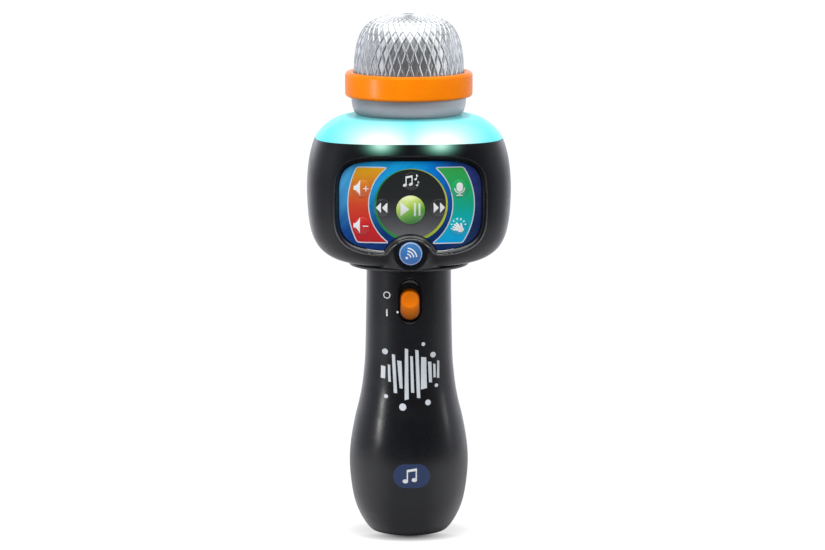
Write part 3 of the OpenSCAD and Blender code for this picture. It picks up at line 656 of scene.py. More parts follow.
def side_key_material():
    """For the two keys at the sides of the disc, which carry disc, rim and panel."""
    shader = Material("side_key_print")
    x, _, z = shader.position()

    def within(centre_z, radius):
        square = shader.sum_squares(shader.sub(x, DISC_X * MM), shader.sub(z, centre_z * MM))
        return shader.calc("LESS_THAN", shader.calc("SQRT", square), radius * MM)

    rim = shader.ramp(shader.span(shader.add(x, shader.mul(z, 0.12)), 0.001, 0.038),
                      srgb_stops(RIM_PRINT))
    # the disc's print carries its painted dish shading
    disc = shader.ramp(shader.span(z, 0.145, 0.179), srgb_stops(DISC_PRINT_AND_SHADE))
    colour = shader.mix(within(DISC_Z, RIM_RADIUS), panel_colour(shader, x, z), rim)
    colour = shader.mix(within(DISC_Z + FACE_RISE, FACE_RADIUS), colour, disc)
    shader.surface({"Base Color": colour})
    shader.finish((0.2, 0.26), coat=0.3)


panel_material()
gradient("left_print", (0, 1), 144, 180.5, LEFT_PRINT)
gradient("right_print", (0, 1), 144, 180.5, RIGHT_PRINT)
# disc print with painted dish shading, lighter towards the bottom
gradient("disc_print_and_shade", (0, 1), 145, 179, DISC_PRINT_AND_SHADE)
gradient("rim_print", (1, 0.12), 1, 38, RIM_PRINT)
side_key_material()
# play key: print with a painted highlight towards the upper left
gradient("play_print_and_highlight", (-0.45, 1), 153, 169, PLAY_PRINT_AND_HIGHLIGHT, coat=0.8)

# ---------------------------------------------------------------- handle
# radius, z
HANDLE = [(14.5, 0), (17.6, 1.0), (19.9, 3.2), (22.0, 6.2), (23.8, 9.6), (25.3, 13.2), (26.6, 18),
          (27.6, 24), (28.3, 31), (28.4, 37), (27.9, 43.5), (26.9, 50), (25.5, 57), (23.9, 63.5),
          (22.6, 70), (21.7, 77), (21.0, 85), (20.7, 95), (20.5, 106), (20.3, 118), (20.25, 128),
          (20.2, 137)]
WALL = 2.2                                          # of the handle and the head
HANDLE_SCREWS = [(-13, 80), (13, 80), (0, 94.4)]    # x, z, from the rear
DOOR_SCREW_Z = 71.5
SCREW_HOLE = 1.35                                   # radius
handle_curve = curve(HANDLE, 8)


def handle_radius(z):
    return float(np.interp(z, handle_curve[:, 1], handle_curve[:, 0]))


def handle_half(name, start, replaced):
    """A half shell from the angle start, with a fine chamfer along the joint line."""
    outer = np.vstack([[[0.8, 0.0], [6, 0.0], [11, 0.0]], handle_curve])
    inner = inward(handle_curve, WALL)
    inner = inner[inner[:, 1] > 3.0]
    inner = np.vstack([[0.8, 2.6], [12.0, 2.6], inner[:-1], [17.8, 137]])
    angles = np.concatenate([[0, 0.35], np.linspace(2, 178, 96), [179.65, 180]])
    verts = []
    for degrees in angles:
        angle = math.radians(start + degrees)
        dip = 0.22 if degrees in (0, 180) else 0.0
        for radius, z in outer:
            radius -= dip
            rise = 0.1 if dip and z < 0.1 else 0
            verts.append((radius * math.cos(angle), radius * math.sin(angle), z + rise))
        for radius, z in inner[::-1]:
            verts.append((radius * math.cos(angle), radius * math.sin(angle), z))
    shape = verts, half_shell_faces(len(angles), len(outer) + len(inner))
    return link(name, shape, "black_plastic", ROOT, 32, [replaced])


handle_front = handle_half("handle_front", 180, "handle_front_shell")
# finger dish with a rounded lip, and the slot for the knob; the dish is (y, growth) from its bottom
DISH = [(-19.05, -0.9), (-19.12, -0.35), (-19.35, 0.0), (-19.8, 0.25), (-20.2, 0.75), (-20.6, 1.6),
        (-23.0, 6.5)]
dish = loft_y([(y, stadium(110.2, 118.8, 5.55 + growth)) for y, growth in DISH])
slot_cut = prism_y(stadium(110.25, 119.35, 4.85), -30, -14)
boolean(handle_front, [along_z(0.02, 2.5, 7.0)], "UNION", angle=32)
boolean(handle_front, [dish, slot_cut], angle=32)


def door_prism(growth, low, high):
    """The battery door's rounded outline, grown and carried along y."""
    radius = 6 + growth
    right = 15.5 + growth - radius
    bottom, top = 9 - growth + radius, 75 + growth - radius
    outline = []
    for x, z, start in ((right, top, 0), (-right, top, 90), (-right, bottom, 180),
                        (right, bottom, 270)):
        outline += arc(x, z, radius, [math.radians(start + 90 * i / 10) for i in range(11)])
    return prism_y(outline, low, high)


def screw_holes(places):
    return [along_y(x, z, -2, 12, SCREW_HOLE) for x, z in places]


handle_rear = handle_half("handle_rear", 0, "handle_rear_shell")
wells = [along_y(x, z, 6.5, 32, 2.9) for x, z in HANDLE_SCREWS]
bosses = [along_y(x, z, 0.2, handle_radius(z) - 1.0 - (4.2 if x else 0.6), 3.9)
          for x, z in HANDLE_SCREWS]
boolean(handle_rear, bosses, "UNION")
boolean(handle_rear, [door_prism(0.25, 2, 40), along_z(-1, 3, 7.15)] + wells
        + screw_holes(HANDLE_SCREWS), angle=32)


def handle_layer(outer_depth, inner_depth, low, high, count):
    """A ring between two depths under the handle's surface, for z between low and high."""
    kept = (handle_curve[:, 1] > low) & (handle_curve[:, 1] < high)
    outer = inward(handle_curve, outer_depth)[kept]
    return turned(np.vstack([outer, inward(handle_curve, inner_depth)[kept][::-1]]), count)


# ledge that the door rests on
ledge = link("door_ledge", handle_layer(2.3, 3.7, 5, 79, 160), "black_plastic", ROOT, 32)
boolean(ledge, [door_prism(2.0, 4, 40)], "INTERSECT")
boolean(ledge, [door_prism(-1.6, 2, 41), along_y(0, DOOR_SCREW_Z, 10, 30, 3.5)], angle=32)
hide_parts("handle_rear_shell")


def finger_groove(z):
    """A round-bottomed groove across the door that narrows at its ends."""
    surface = handle_radius(z) + 0.25
    rings = []
    for angle in [math.radians(90 + a) for a in np.linspace(-17, 17, 24)]:
        fade = (abs(math.degrees(angle) - 90) / 17.5) ** 6
        ring = []
        for turn in full_turn(12):
            radius = surface + 0.75 * math.cos(turn)
            ring.append(((radius - fade * 0.6) * math.cos(angle), radius * math.sin(angle),
                         z + 0.75 * math.sin(turn)))
        rings.append(ring)
    return loft(rings)


# battery door with its screw boss, screw recess and finger grooves
door = link("battery_cover", handle_layer(0.0, 2.1, 3, 90, 220), "black_plastic", "battery_cover",
            32, ["battery_door"])
boolean(door, [door_prism(0.0, 5, 40)], "INTERSECT")
boolean(door, [along_y(0, DOOR_SCREW_Z, 17.2, handle_radius(DOOR_SCREW_Z) - 0.9, 3.2)], "UNION")
boolean(door, [along_y(0, DOOR_SCREW_Z, 19.74, 30, 2.75), along_y(0, DOOR_SCREW_Z, 10, 22, 1.4)]
        + [finger_groove(16.6 + 3 * i) for i in range(5)], angle=32)

# ---------------------------------------------------------------- head
# half width, z
HEAD = [(27.4, 131.5), (32.8, 132.4), (37.6, 134.3), (41.8, 137.4), (44.8, 141.5), (46.7, 146.3),
        (47.9, 152.6), (48.5, 160), (48.7, 167.5), (48.3, 175), (47.4, 181.6), (46.1, 186.8),
        (44.7, 190.7)]
HEAD_EXPONENT = 2.9                         # squareness of the head where it is wide
HEAD_FOOT = HEAD[0][0]
PAIR_Z = 139.2                              # centre of the pairing button
ARCH_Z, ARCH_RADIUS = 134.2, 13.8           # arch that notches the panel above that button
PANEL_HALF_WIDTH = 33.6
PANEL_BOTTOM, PANEL_TOP = 140.4, 182.8
PANEL_CENTRE_Z = (PANEL_BOTTOM + PANEL_TOP) / 2
PANEL_RADIUS = 110.0                        # the panel bends on a cylinder about a vertical line
PANEL_CENTRE_Y = PANEL_RADIUS - 32.6
HEAD_SCREWS = [(-41, 153), (41, 153), (-41, 176), (41, 176)]    # x, z
SPEAKER_Z, SPEAKER_RADIUS, SPEAKER_PITCH = 163.5, 17, 5
head_curve = curve(HEAD, 5)


def head_depth(half_width):
    return 28.2 + 0.325 * (half_width - HEAD_FOOT)


def head_exponent(half_width):
    return 2.05 + (HEAD_EXPONENT - 2.05) * min(1, max(0, (half_width - HEAD_FOOT) / 18))


def mound(x, z):
    """Depth of the swelling round the pairing button."""
    return 34.75 - max(0.0, math.hypot(x, z - PAIR_Z) - 8.0) * 1.15


def head_front_depth(x, z):
    """Distance of the head's front surface from the plane y = 0."""
    half_width = float(np.interp(z, head_curve[:, 1], head_curve[:, 0]))
    exponent = head_exponent(half_width)
    unit = max(0.0, 1 - (abs(x) / half_width) ** exponent) ** (1 / exponent)
    return smooth_max(unit * head_depth(half_width), mound(x, z), 1.4)


def head_half(name, front, replaced):
    angles = even_angles(48.6, 35.1, HEAD_EXPONENT, 180 if front else 0, 151)
    inner = inward(head_curve, WALL)
    inner[-1, 1] = head_curve[-1, 1]

    def place(half_width, outer_width, angle, z, outside):
        depth = head_depth(outer_width) - (outer_width - half_width)
        x, y = superellipse(half_width, depth, head_exponent(outer_width), math.radians(angle))
        if outside and front and abs(x) < 20 and z < 152 and y < 0:
            y = -smooth_max(-y, mound(x, z), 1.4)
        return x, y, z

    last = len(angles) - 1
    verts = []
    for i, angle in enumerate(angles):
        chamfer = 0.2 if i in (0, last) else 0
        for width, z in head_curve:
            verts.append(place(width - chamfer, width, angle, z, True))
        for (width, z), (outer_width, _) in zip(inner[::-1], head_curve[::-1]):
            verts.append(place(width, outer_width, angle, z, False))
    count = len(head_curve)
    verts = np.array(verts, float).reshape(last + 1, 2 * count, 3)
    # a narrow land next to the joint keeps the chamfer small
    for row, joint in ((1, 0), (last - 1, last)):
        full_x = verts[row, :count, 0].copy()
        verts[row] = verts[joint] + (verts[row] - verts[joint]) * 0.22
        verts[row, :count, 0] = np.sign(full_x) * np.maximum(
            np.abs(verts[row, :count, 0]), np.abs(verts[joint, :count, 0]) + 0.19)
    shape = verts.reshape(-1, 3), half_shell_faces(last + 1, 2 * count)
    return link(name, shape, "black_head", ROOT, 32, [replaced])


def screen(growth, count=480):
    """The panel's outline without its notch; squarer above than below."""
    points = []
    for j in range(count):
        exponent = 4.6 if j < count // 2 else 3.8
        x, z = superellipse(PANEL_HALF_WIDTH + growth, (PANEL_TOP - PANEL_BOTTOM) / 2 + growth,
                            exponent, 2 * math.pi * j / count)
        points.append((x, PANEL_CENTRE_Z + z))
    return np.array(points)


def notched(points, radius, count):
    """Replaces the part of an outline within the arch by an arc of count points."""
    points = np.array(points)
    inside = np.hypot(points[:, 0], points[:, 1] - ARCH_Z) < radius
    first = int(np.argmax(~inside & np.roll(inside, 1)))      # first point after the notch
    points, inside = np.roll(points, -first, axis=0), np.roll(inside, -first)
    points = points[~inside]
    ends = [math.atan2(points[i, 1] - ARCH_Z, points[i, 0]) for i in (-1, 0)]
    angles = np.linspace(*ends, count)
    notch = np.stack([radius * np.cos(angles), ARCH_Z + radius * np.sin(angles)], 1)
    return np.vstack([points, notch[1:-1]])


def arched(growth, radius, step=0.7):
    return resample(notched(resample(screen(growth), 0.2), radius, 80), step)


def on_panel(x, z, height):
    radius = PANEL_RADIUS + height
    return x, PANEL_CENTRE_Y - math.sqrt(radius * radius - x * x), z


head_front = head_half("head_front", True, "head_front_shell")
boolean(head_front, [prism_y(arched(1.7, ARCH_RADIUS - 1.4), -60, -20),
                     along_y(0, PAIR_Z, -60, -20, 5.78, 64)], angle=32)

# The lip round the panel: a fine rolled edge whose inner side falls away to the panel.
# Section as (distance outwards, height over the head); no height means 1 mm behind the panel face.
LIP_SECTION = [(1.75, -0.45), (1.62, -0.02), (1.42, 0.20), (1.15, 0.31), (0.88, 0.32),
               (0.66, 0.22), (0.52, 0.0), (0.30, -0.45), (-0.25, -0.95), (-0.85, -1.5),
               (-1.05, -2.0), (-1.05, None), (1.2, None)]


def panel_lip():
    path = smooth(arched(1.3, ARCH_RADIUS - 1.0, 0.6), 6)
    verts = []
    for point, out in zip(path, -normals(path, closed=True)):
        for distance, height in LIP_SECTION:
            x, z = point + out * distance
            panel_y = on_panel(x, z, 0)[1]
            if height is None:
                y = panel_y + 1.0
            else:
                y = -head_front_depth(*(point + out * max(distance, 0.6))) - height
                y = min(y, panel_y + 0.4)
            verts.append((x, y, z))
    shape = verts, grid_faces(len(path), len(LIP_SECTION), True, True)
    obj = link("panel_lip", shape, "gloss_lip", ROOT, 50)
    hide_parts("head_front_shell")


panel_lip()


def speaker_slot(i):
    x = i * SPEAKER_PITCH
    half = math.sqrt(SPEAKER_RADIUS * SPEAKER_RADIUS - x * x) - 2.4
    outline = moved(stadium(SPEAKER_Z - half, SPEAKER_Z + half, 1.2, 10), x, 0)
    return prism_y(outline, 25, 45)


head_rear = head_half("head_rear", False, "head_rear_shell")
boolean(head_rear, [along_y(x, z, 0.3, 18.5, 3.9) for x, z in HEAD_SCREWS], "UNION")
boolean(head_rear, [along_y(x, z, 9.5, 45, 3.0) for x, z in HEAD_SCREWS]
        + [speaker_slot(i) for i in range(-3, 4)] + screw_holes(HEAD_SCREWS), angle=32)

# collar: radius, z
COLLAR = [(20.45, 129.1), (25.6, 129.1), (27.1, 129.28), (28.1, 129.62), (28.65, 130.1),
          (28.8, 130.6), (28.75, 131.1), (28.5, 131.35), (26.8, 131.38), (26.8, 134.3),
          (28.2, 134.3), (28.2, 135.25), (20.45, 135.25)]
link("neck_collar_ring", turned(COLLAR, 160), "black_plastic", ROOT, 50,
     ["neck_collar"])

# ---------------------------------------------------------------- glowing shoulder
# half width, z
SHOULDER = [(44.6, 190.8), (43.3, 192.7), (41.0, 195.3), (38.1, 197.7), (34.5, 199.8),
            (30.5, 201.05), (26.0, 201.6), (18.0, 201.65)]
SHOULDER_FOOT = SHOULDER[0][0]
SHOULDER_ROUND = 25.4       # half width below which the section is a circle


def shoulder_depth(width):
    if width <= SHOULDER_ROUND:
        return width
    share = (width - SHOULDER_ROUND) / (SHOULDER_FOOT - SHOULDER_ROUND)
    return SHOULDER_ROUND + (33.75 - SHOULDER_ROUND) * share ** 0.9


def shoulder_exponent(width):
    return 2 + 0.78 * min(1, max(0, (width - SHOULDER_ROUND) / 16))


def shoulder_light():
    outer = curve(SHOULDER, 7)
    inner = inward(outer, 1.9)
    inner[0, 1] = outer[0, 1]
    inner[-1, 0] = outer[-1, 0]
    angles = np.concatenate([even_angles(SHOULDER_FOOT, 33.7, 2.78, start, 101)[:-1]
                             for start in (0, 180)])
    section = [(width, width, z) for width, z in outer]
    section += [(width, outer_width, z)
                for (width, z), (outer_width, _) in zip(inner[::-1], outer[::-1])]
    verts = []
    for angle in angles:
        for width, outer_width, z in section:
            depth = shoulder_depth(outer_width) - (outer_width - width)
            verts.append((*superellipse(width, depth, shoulder_exponent(outer_width),
                                        math.radians(angle)), z))
    link("shoulder_light", (verts, grid_faces(len(angles), len(section), True, True)),
         "glowing_plastic", ROOT, 40, ["light_diffuser"])


shoulder_light()

# ---------------------------------------------------------------- cup and orange band
# radius, z
CUP = [(24.2, 201.75), (25.4, 202.3), (26.3, 203.7), (27.0, 206.0), (27.3, 208.4), (27.5, 211),
       (27.6, 213.3)]
CUP_INSIDE = [(25.6, 213.3), (25.4, 210), (24.6, 206.5), (23.6, 204.4), (6.0, 204.4)]
link("cup_body", turned([(6.0, 201.75), *curve(CUP, 6), *CUP_INSIDE], 160), "grey_cup", ROOT, 40,
     ["grille_cup"])

BAND_RADIUS, BAND_FILLET = 30.4, 1.5
BAND_BOTTOM, BAND_TOP = 210.4, 222.2
BAND_INSIDE, INSIDE_FILLET = 26.4, 0.7


def fillet(x, z, radius, start, end, count=8):
    return arc(x, z, radius, [math.radians(a) for a in np.linspace(start, end, count)])


band_profile = [
    (27.75, BAND_BOTTOM),
    *fillet(BAND_RADIUS - BAND_FILLET, BAND_BOTTOM + BAND_FILLET, BAND_FILLET, -90, 0),
    (BAND_RADIUS + 0.02, 214), (BAND_RADIUS + 0.03, 218),
    *fillet(BAND_RADIUS - BAND_FILLET, BAND_TOP - BAND_FILLET, BAND_FILLET, 0, 90),
    *fillet(BAND_INSIDE + INSIDE_FILLET, BAND_TOP - INSIDE_FILLET, INSIDE_FILLET, 90, 180, 5),
    (BAND_INSIDE, 215.2), (27.75, 215.2)]
link("grip_band", turned(band_profile, 200), "orange_plastic", ROOT, 40,
     ["grip_ring"])

# ---------------------------------------------------------------- dome
# a lattice of raised diamonds, closer together towards the crown: radius, z
DOME = [(26.25, 215.0), (26.25, 222), (26.15, 226.5), (25.75, 231), (24.95, 235.5), (23.6, 239.6),
        (21.4, 243.2), (18.2, 245.9), (14.2, 247.8), (9.2, 249.0), (4.3, 249.45), (0, 249.55)]
ROW_Z = (215.0, 220.6, 226.9, 233.0, 237.7, 241.0, 243.6, 245.4)    # lattice rows on the flank
DIAMONDS = 40                                                       # round each row
DIAMOND_STEPS = [0, 0.05, 0.10, 0.17, 0.30, 0.5, 0.70, 0.83, 0.90, 0.95, 1]
RIDGE_WIDTH, RIDGE_HEIGHT, PILLOW = 0.17, 0.34, 0.07
dome_curve = curve(DOME, 12)
dome_lengths = lengths(dome_curve)


def dome_rows():
    """Lengths along the dome's curve at which the diamonds' corners lie."""
    rows = [float(np.interp(z, dome_curve[:, 1], dome_lengths)) for z in ROW_Z]
    order = np.argsort(dome_curve[:, 0])
    radius = 16.6
    while radius > 2.6:
        rows.append(float(np.interp(radius, dome_curve[order, 0], dome_lengths[order])))
        radius *= 0.855
    return np.array(rows)


def ridge(step):
    step = min(step, 1 - step)
    if step >= RIDGE_WIDTH:
        return 0.0
    rise = 1 - step / RIDGE_WIDTH
    return rise * rise * (3 - 2 * rise)


def dome_lattice(rows):
    slopes = np.gradient(dome_curve, dome_lengths, axis=0)
    row_numbers = np.arange(len(rows))
    columns = [dome_curve[:, 0], dome_curve[:, 1], slopes[:, 0], slopes[:, 1]]
    size = len(DIAMOND_STEPS)
    verts, faces = [], []
    for k in range(len(rows) - 2):
        for j in range(DIAMONDS):
            start = 2 * math.pi * (j + (0.5 if k % 2 else 0.0)) / DIAMONDS
            faces += grid_faces(size, size, base=len(verts))
            for u in DIAMOND_STEPS:
                for w in DIAMOND_STEPS:
                    at = float(np.interp(k + u + w, row_numbers, rows))
                    radius, z, slope_r, slope_z = (float(np.interp(at, dome_lengths, column))
                                                   for column in columns)
                    slope = math.hypot(slope_r, slope_z)
                    scale = min(1.0, 0.35 + 0.65 * radius / 26)
                    height = ((1 - (1 - ridge(u)) * (1 - ridge(w))) * RIDGE_HEIGHT * scale
                              + PILLOW * scale * math.sin(math.pi * u) * math.sin(math.pi * w)
                              - RIDGE_HEIGHT * scale)
                    angle = start + (u - w) * math.pi / DIAMONDS
                    raised = radius + slope_z / slope * height
                    verts.append((raised * math.cos(angle), raised * math.sin(angle),
                                  z - slope_r / slope * height))
    link("grille_dome_lattice", (verts, faces), "silver_dome", ROOT, 60,
         ["grille_dome"], merge=0.01)


rows = dome_rows()
dome_lattice(rows)
crown_radius = float(np.interp(rows[-2], dome_lengths, dome_curve[:, 0])) + 0.5
crown = [(max(crown_radius * math.sin(math.radians(a)), 0.01),
          249.1 + 0.4 * math.cos(math.radians(a))) for a in np.linspace(0, 100, 12)]
link("grille_crown", turned(crown + [(0.01, 248.3)], 72), "silver_dome", ROOT, 60)


def under_dome(depth, least_radius):
    kept = (dome_curve[:, 1] > 223) & (dome_curve[:, 0] > least_radius)
    return inward(dome_curve, depth)[kept]


liner = [(24.35, 213.4), (27.5, 213.4), (27.5, 215.0), (26.0, 215.1), (25.9, 222),
         *under_dome(0.8, 0.5), (0.3, 248.65), (0.3, 248.0), *under_dome(1.5, 0.9)[::-1],
         (24.35, 221)]
link("grille_liner_wall", turned(liner, 120), "silver_dome", ROOT, 60)

# ---------------------------------------------------------------- key places
# x, z, radius, material, slot
KEYS = {
    "volume_up_button": (-22.9, 169.7, 4.3, "left_print", "orange_key"),
    "volume_down_button": (-23.0, 151.9, 4.3, "left_print", "red_key"),
    "previous_button": (-13.5, 160.6, 4.3, "side_key_print", "charcoal_key"),
    "next_button": (13.4, 160.6, 4.3, "side_key_print", "charcoal_key"),
    "song_button": (0.4, 173.4, 4.3, "disc_print_and_shade", "charcoal_key"),
    "play_button": (0.0, 159.8, 6.8, "play_print_and_highlight", "green_key"),
    "voice_button": (23.1, 169.6, 4.3, "right_print", "leaf_key"),
    "clap_button": (22.6, 151.6, 4.3, "right_print", "teal_key")}


def on_key_axis(key, across, up, distance):
    """A point at offsets across and up from a key's centre, at a distance along its axis
    from the line about which the panel bends."""
    x, z = KEYS[key][:2]
    tilt = math.asin(x / PANEL_RADIUS)
    return (across * math.cos(tilt) + distance * math.sin(tilt),
            PANEL_CENTRE_Y + across * math.sin(tilt) - distance * math.cos(tilt), z + up)


def key_hole(key):
    radius = KEYS[key][2] + 0.05
    ring = [radius * np.array([math.cos(a), math.sin(a)]) for a in full_turn(48)]
    return loft([[on_key_axis(key, across, up, distance) for across, up in ring]
                 for distance in (PANEL_RADIUS - 8, PANEL_RADIUS + 6)])


# ---------------------------------------------------------------- thin prints
def slab(name, outline, bottom, top, material, place, body=ROOT, cut=(),
         step=1.6, angle=30):
    """A thin closed sheet: the (x, z) outline placed at two heights, split every step so that it
    follows a curved surface, and holed for the keys in cut."""
    bm = bmesh.new()
    bm.faces.new([bm.verts.new((x, 0, z)) for x, z in outline])
    for axis, values in ((0, [p[0] for p in outline]), (2, [p[1] for p in outline])):
        low, high = min(values), max(values)
        at = math.ceil(low / step) * step
        while at < high:
            if low + 0.02 < at < high - 0.02:
                plane_co, plane_no = [0, 0, 0], [0, 0, 0]
                plane_co[axis], plane_no[axis] = at, 1
                bmesh.ops.bisect_plane(bm, geom=bm.verts[:] + bm.edges[:] + bm.faces[:],
                                       dist=1e-6, plane_co=plane_co, plane_no=plane_no)
            at += step
    bmesh.ops.triangulate(bm, faces=bm.faces)
    bm.verts.ensure_lookup_table()
    bm.verts.index_update()
    flat = [(vert.co.x, vert.co.z) for vert in bm.verts]
    triangles = [[vert.index for vert in face.verts] for face in bm.faces]
    rim = [[vert.index for vert in edge.verts] for edge in bm.edges if edge.is_boundary]
    bm.free()
    count = len(flat)
    verts = [place(x, z, height) for height in (top, bottom) for x, z in flat]
    faces = [tuple(corners) for corners in triangles]
    faces += [tuple(i + count for i in corners[::-1]) for corners in triangles]
    faces += [(i, j, j + count, i + count) for i, j in rim]
    obj = link(name, (verts, faces), material, body, angle)
    if cut:
        boolean(obj, [key_hole(key) for key in cut], angle=angle)
    return obj


def line(name, points, width, bottom, top, material, place, body=ROOT,
         closed=True):
    """A printed line of that width through points."""
    points = np.array(points, float)
    shift = normals(points, closed) * width / 2
    left, right = points + shift, points - shift
    count = len(points)
    verts = [place(*point, height) for side, height in
             ((left, top), (right, top), (right, bottom), (left, bottom)) for point in side]
    faces = []
    for i in range(count if closed else count - 1):
        j = (i + 1) % count
        for k in range(4):
            side, following = k * count, (k + 1) % 4 * count
            faces.append((side + i, side + j, following + j, following + i))
    if not closed:
        faces += [tuple(k * count for k in range(4)),
                  tuple(k * count - 1 for k in range(1, 5))]
    link(name, (verts, faces), material, body, 40)


# ---------------------------------------------------------------- printed panel
panel = slab("panel_face", arched(0.0, ARCH_RADIUS + 0.25, 0.8), -1.6, 0.0, "panel_print",
             on_panel, cut=list(KEYS))
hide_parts("control_panel")


def arc_through(first, middle, last, count=40):
    """Points on the circle through three points."""
    (ax, az), (bx, bz), (cx, cz) = first, middle, last
    twice = 2 * (ax * (bz - cz) + bx * (cz - az) + cx * (az - bz))
    a_square, b_square, c_square = ax * ax + az * az, bx * bx + bz * bz, cx * cx + cz * cz
    x = (a_square * (bz - cz) + b_square * (cz - az) + c_square * (az - bz)) / twice
    z = (a_square * (cx - bx) + b_square * (ax - cx) + c_square * (bx - ax)) / twice
    angles = np.unwrap([math.atan2(point[1] - z, point[0] - x)
                        for point in (first, middle, last)])
    return arc(x, z, math.hypot(ax - x, az - z), np.linspace(angles[0], angles[2], count))


# crescents: three (x, z) points on the inner arc, three on the outer, and the keys in each
CRESCENTS = {
    "left": (((-11.0, 179.9), (-19.8, 162.0), (-10.3, 144.1)),
             ((-25.2, 144.1), (-29.55, 161.8), (-25.4, 179.9)),
             ["volume_up_button", "volume_down_button"]),
    "right": (((11.6, 179.8), (20.0, 161.5), (10.1, 143.7)),
              ((24.6, 143.7), (30.3, 161.8), (25.0, 179.8)),
              ["voice_button", "clap_button"])}
for side_name, (inner_arc, outer_arc, keys) in CRESCENTS.items():
    outline = arc_through(*inner_arc) + arc_through(*outer_arc)
    outline = smooth(resample(np.array(outline), 0.4), 9)
    slab(f"{side_name}_crescent", outline, -0.1, 0.05, f"{side_name}_print", on_panel, cut=keys)
    line(f"{side_name}_crescent_line", outline, 0.5, -0.1, 0.09, "silver_print", on_panel)

# disc and its rim: name, rise of centre, radius, height of the print, material
for name, rise, radius, top, material in (
        ("disc_rim", 0, RIM_RADIUS, 0.05, "rim_print"),
        ("disc_face", FACE_RISE, FACE_RADIUS, 0.085, "disc_print_and_shade")):
    outline = notched(circle(DISC_X, DISC_Z + rise, radius, 180), ARCH_RADIUS + 0.3, 30)
    slab(name, outline, -0.1, top, material, on_panel,
         cut=["previous_button", "next_button", "song_button", "play_button"])


# ---------------------------------------------------------------- domed key caps
def cap_height(key, across, up):
    """Distance of the cap's top from the line about which the panel bends."""
    radius = KEYS[key][2]
    dome, rise = (2.3, 0.2) if radius > 5 else (0.6, 0.08)
    sphere = (radius * radius + dome * dome) / (2 * dome)
    return (PANEL_RADIUS + rise + dome - sphere
            + math.sqrt(max(sphere * sphere - across * across - up * up, 0)))


for key, (_, _, radius, material, slot) in KEYS.items():
    profile = [(0.02, cap_height(key, 0, 0))]
    profile += [(radius * q, cap_height(key, radius * q, 0)) for q in np.linspace(0.12, 0.96, 12)]
    edge = cap_height(key, radius * 0.96, 0)
    flange_radius = radius + 0.85
    flange = math.sqrt(108.4 ** 2 - flange_radius ** 2) - 0.08
    profile += [(radius * 0.985, edge - 0.07), (radius * 0.998, edge - 0.13), (radius, edge - 0.2),
                (radius, 107.9), (radius, flange), (flange_radius, flange),
                (flange_radius, flange - 1.1), (0.02, flange - 1.1)]
    cap = turned(profile, 64, lambda x, y, z: on_key_axis(key, x, y, z))
    link(key + "_cap", cap, material, key, 50, [key])


# ---------------------------------------------------------------- signs on the keys
def on_cap(key):
    return lambda x, z, height: on_key_axis(key, x, z, cap_height(key, x, z) + height)


def sheet(name, outline, key, material="white_print"):
    """A printed shape on a key's dome; the outline is (across, up) from the key's centre."""
    slab(name, outline, -0.06, 0.05, material, on_cap(key), key, step=0.8, angle=40)


# volume: a loudspeaker with a plus or a minus
HORN = [(-4.0, -1.0), (-3.1, -1.0), (-2.3, -1.6), (-1.5, -2.55), (-0.95, -3.6), (-0.8, -3.6),
        (-0.8, 3.6), (-0.95, 3.6), (-1.5, 2.55), (-2.3, 1.6), (-3.1, 1.0), (-4.0, 1.0)]
THIN, LONG = 0.2, 1.3       # half width and half length of the plus's arms
PLUS = [(-LONG, -THIN), (-THIN, -THIN), (-THIN, -LONG), (THIN, -LONG), (THIN, -THIN),
        (LONG, -THIN), (LONG, THIN), (THIN, THIN), (THIN, LONG), (-THIN, LONG), (-THIN, THIN),
        (-LONG, THIN)]
for key, sign, outline in (("volume_up_button", "_plus", moved(PLUS, 2.0, 0.05)),
                           ("volume_down_button", "_minus", rect(1.9, 0, 2.6, 0.48))):
    sheet(key + "_horn", moved(HORN, 0, 0.3), key)
    sheet(key + sign, outline, key)

# previous and next: two arrowheads each
for key, way in (("previous_button", -1), ("next_button", 1)):
    for i, (tip, base) in enumerate(((2.85, 0.4), (-0.1, -2.6))):
        corners = np.array([(way * base, -2.4), (way * tip, 0.15), (way * base, 2.7)])
        sheet(f"{key}_arrow_{i}", smooth(resample(corners, 0.25), 2), key)

# play and pause
for name, outline in (("play_arrow", [(-4.8, -2.75), (-0.6, 0.5), (-4.8, 3.75)]),
                      ("pause_bar_a", rect(2.0, 0.35, 0.95, 6.2)),
                      ("pause_bar_b", rect(4.15, 0.35, 0.95, 5.9))):
    sheet(name, outline, "play_button", "frosted_print")

# song: a pair of joined notes, with two small notes beside it
key = "song_button"
sheet("notes_stem_a", rect(-2.55, 0.15, 0.5, 3.9), key)
sheet("notes_stem_b", rect(0.25, 0.65, 0.5, 3.9), key)
sheet("notes_beam", [(-2.8, 1.4), (0.5, 1.95), (0.5, 2.85), (-2.8, 2.3)], key)
for letter, x, z in (("a", -3.1, -1.85), ("b", -0.3, -1.35)):
    sheet("notes_head_" + letter, [(x + 0.95 * math.cos(a) + 0.15 * math.sin(a),
                                    z + 0.75 * math.sin(a) + 0.15 * math.cos(a))
                                   for a in full_turn(24)], key)
SMALL_STEM = [(0.4, 0.1), (0.72, 0.1), (0.72, 1.9), (1.4, 1.35), (1.5, 1.75), (0.72, 2.7),
              (0.4, 2.7)]
for letter, x, z, scale in (("a", 1.9, 1.0, 0.85), ("b", 2.6, -1.9, 0.75)):
    sheet(f"side_note_{letter}_head", moved(ellipse(0, 0, 0.72, 0.55, 20), x, z, scale), key)
    sheet(f"side_note_{letter}_stem", moved(SMALL_STEM, x, z, scale), key)

# voice: a plain microphone on a stand
key = "voice_button"
sheet("voice_body", arc(0, 1.35, 1.55, np.linspace(0, math.pi, 16))
      + arc(0, 0, 1.55, np.linspace(math.pi, 2 * math.pi, 16)), key)
line("voice_yoke", arc(0, 0.3, 2.4, np.linspace(math.pi, 2 * math.pi, 26)), 0.45, -0.06, 0.05,
     "white_print", on_cap(key), key, closed=False)
sheet("voice_stem", rect(0, -2.55, 0.5, 1.0), key)
sheet("voice_foot", rect(0, -3.2, 3.0, 0.5), key)


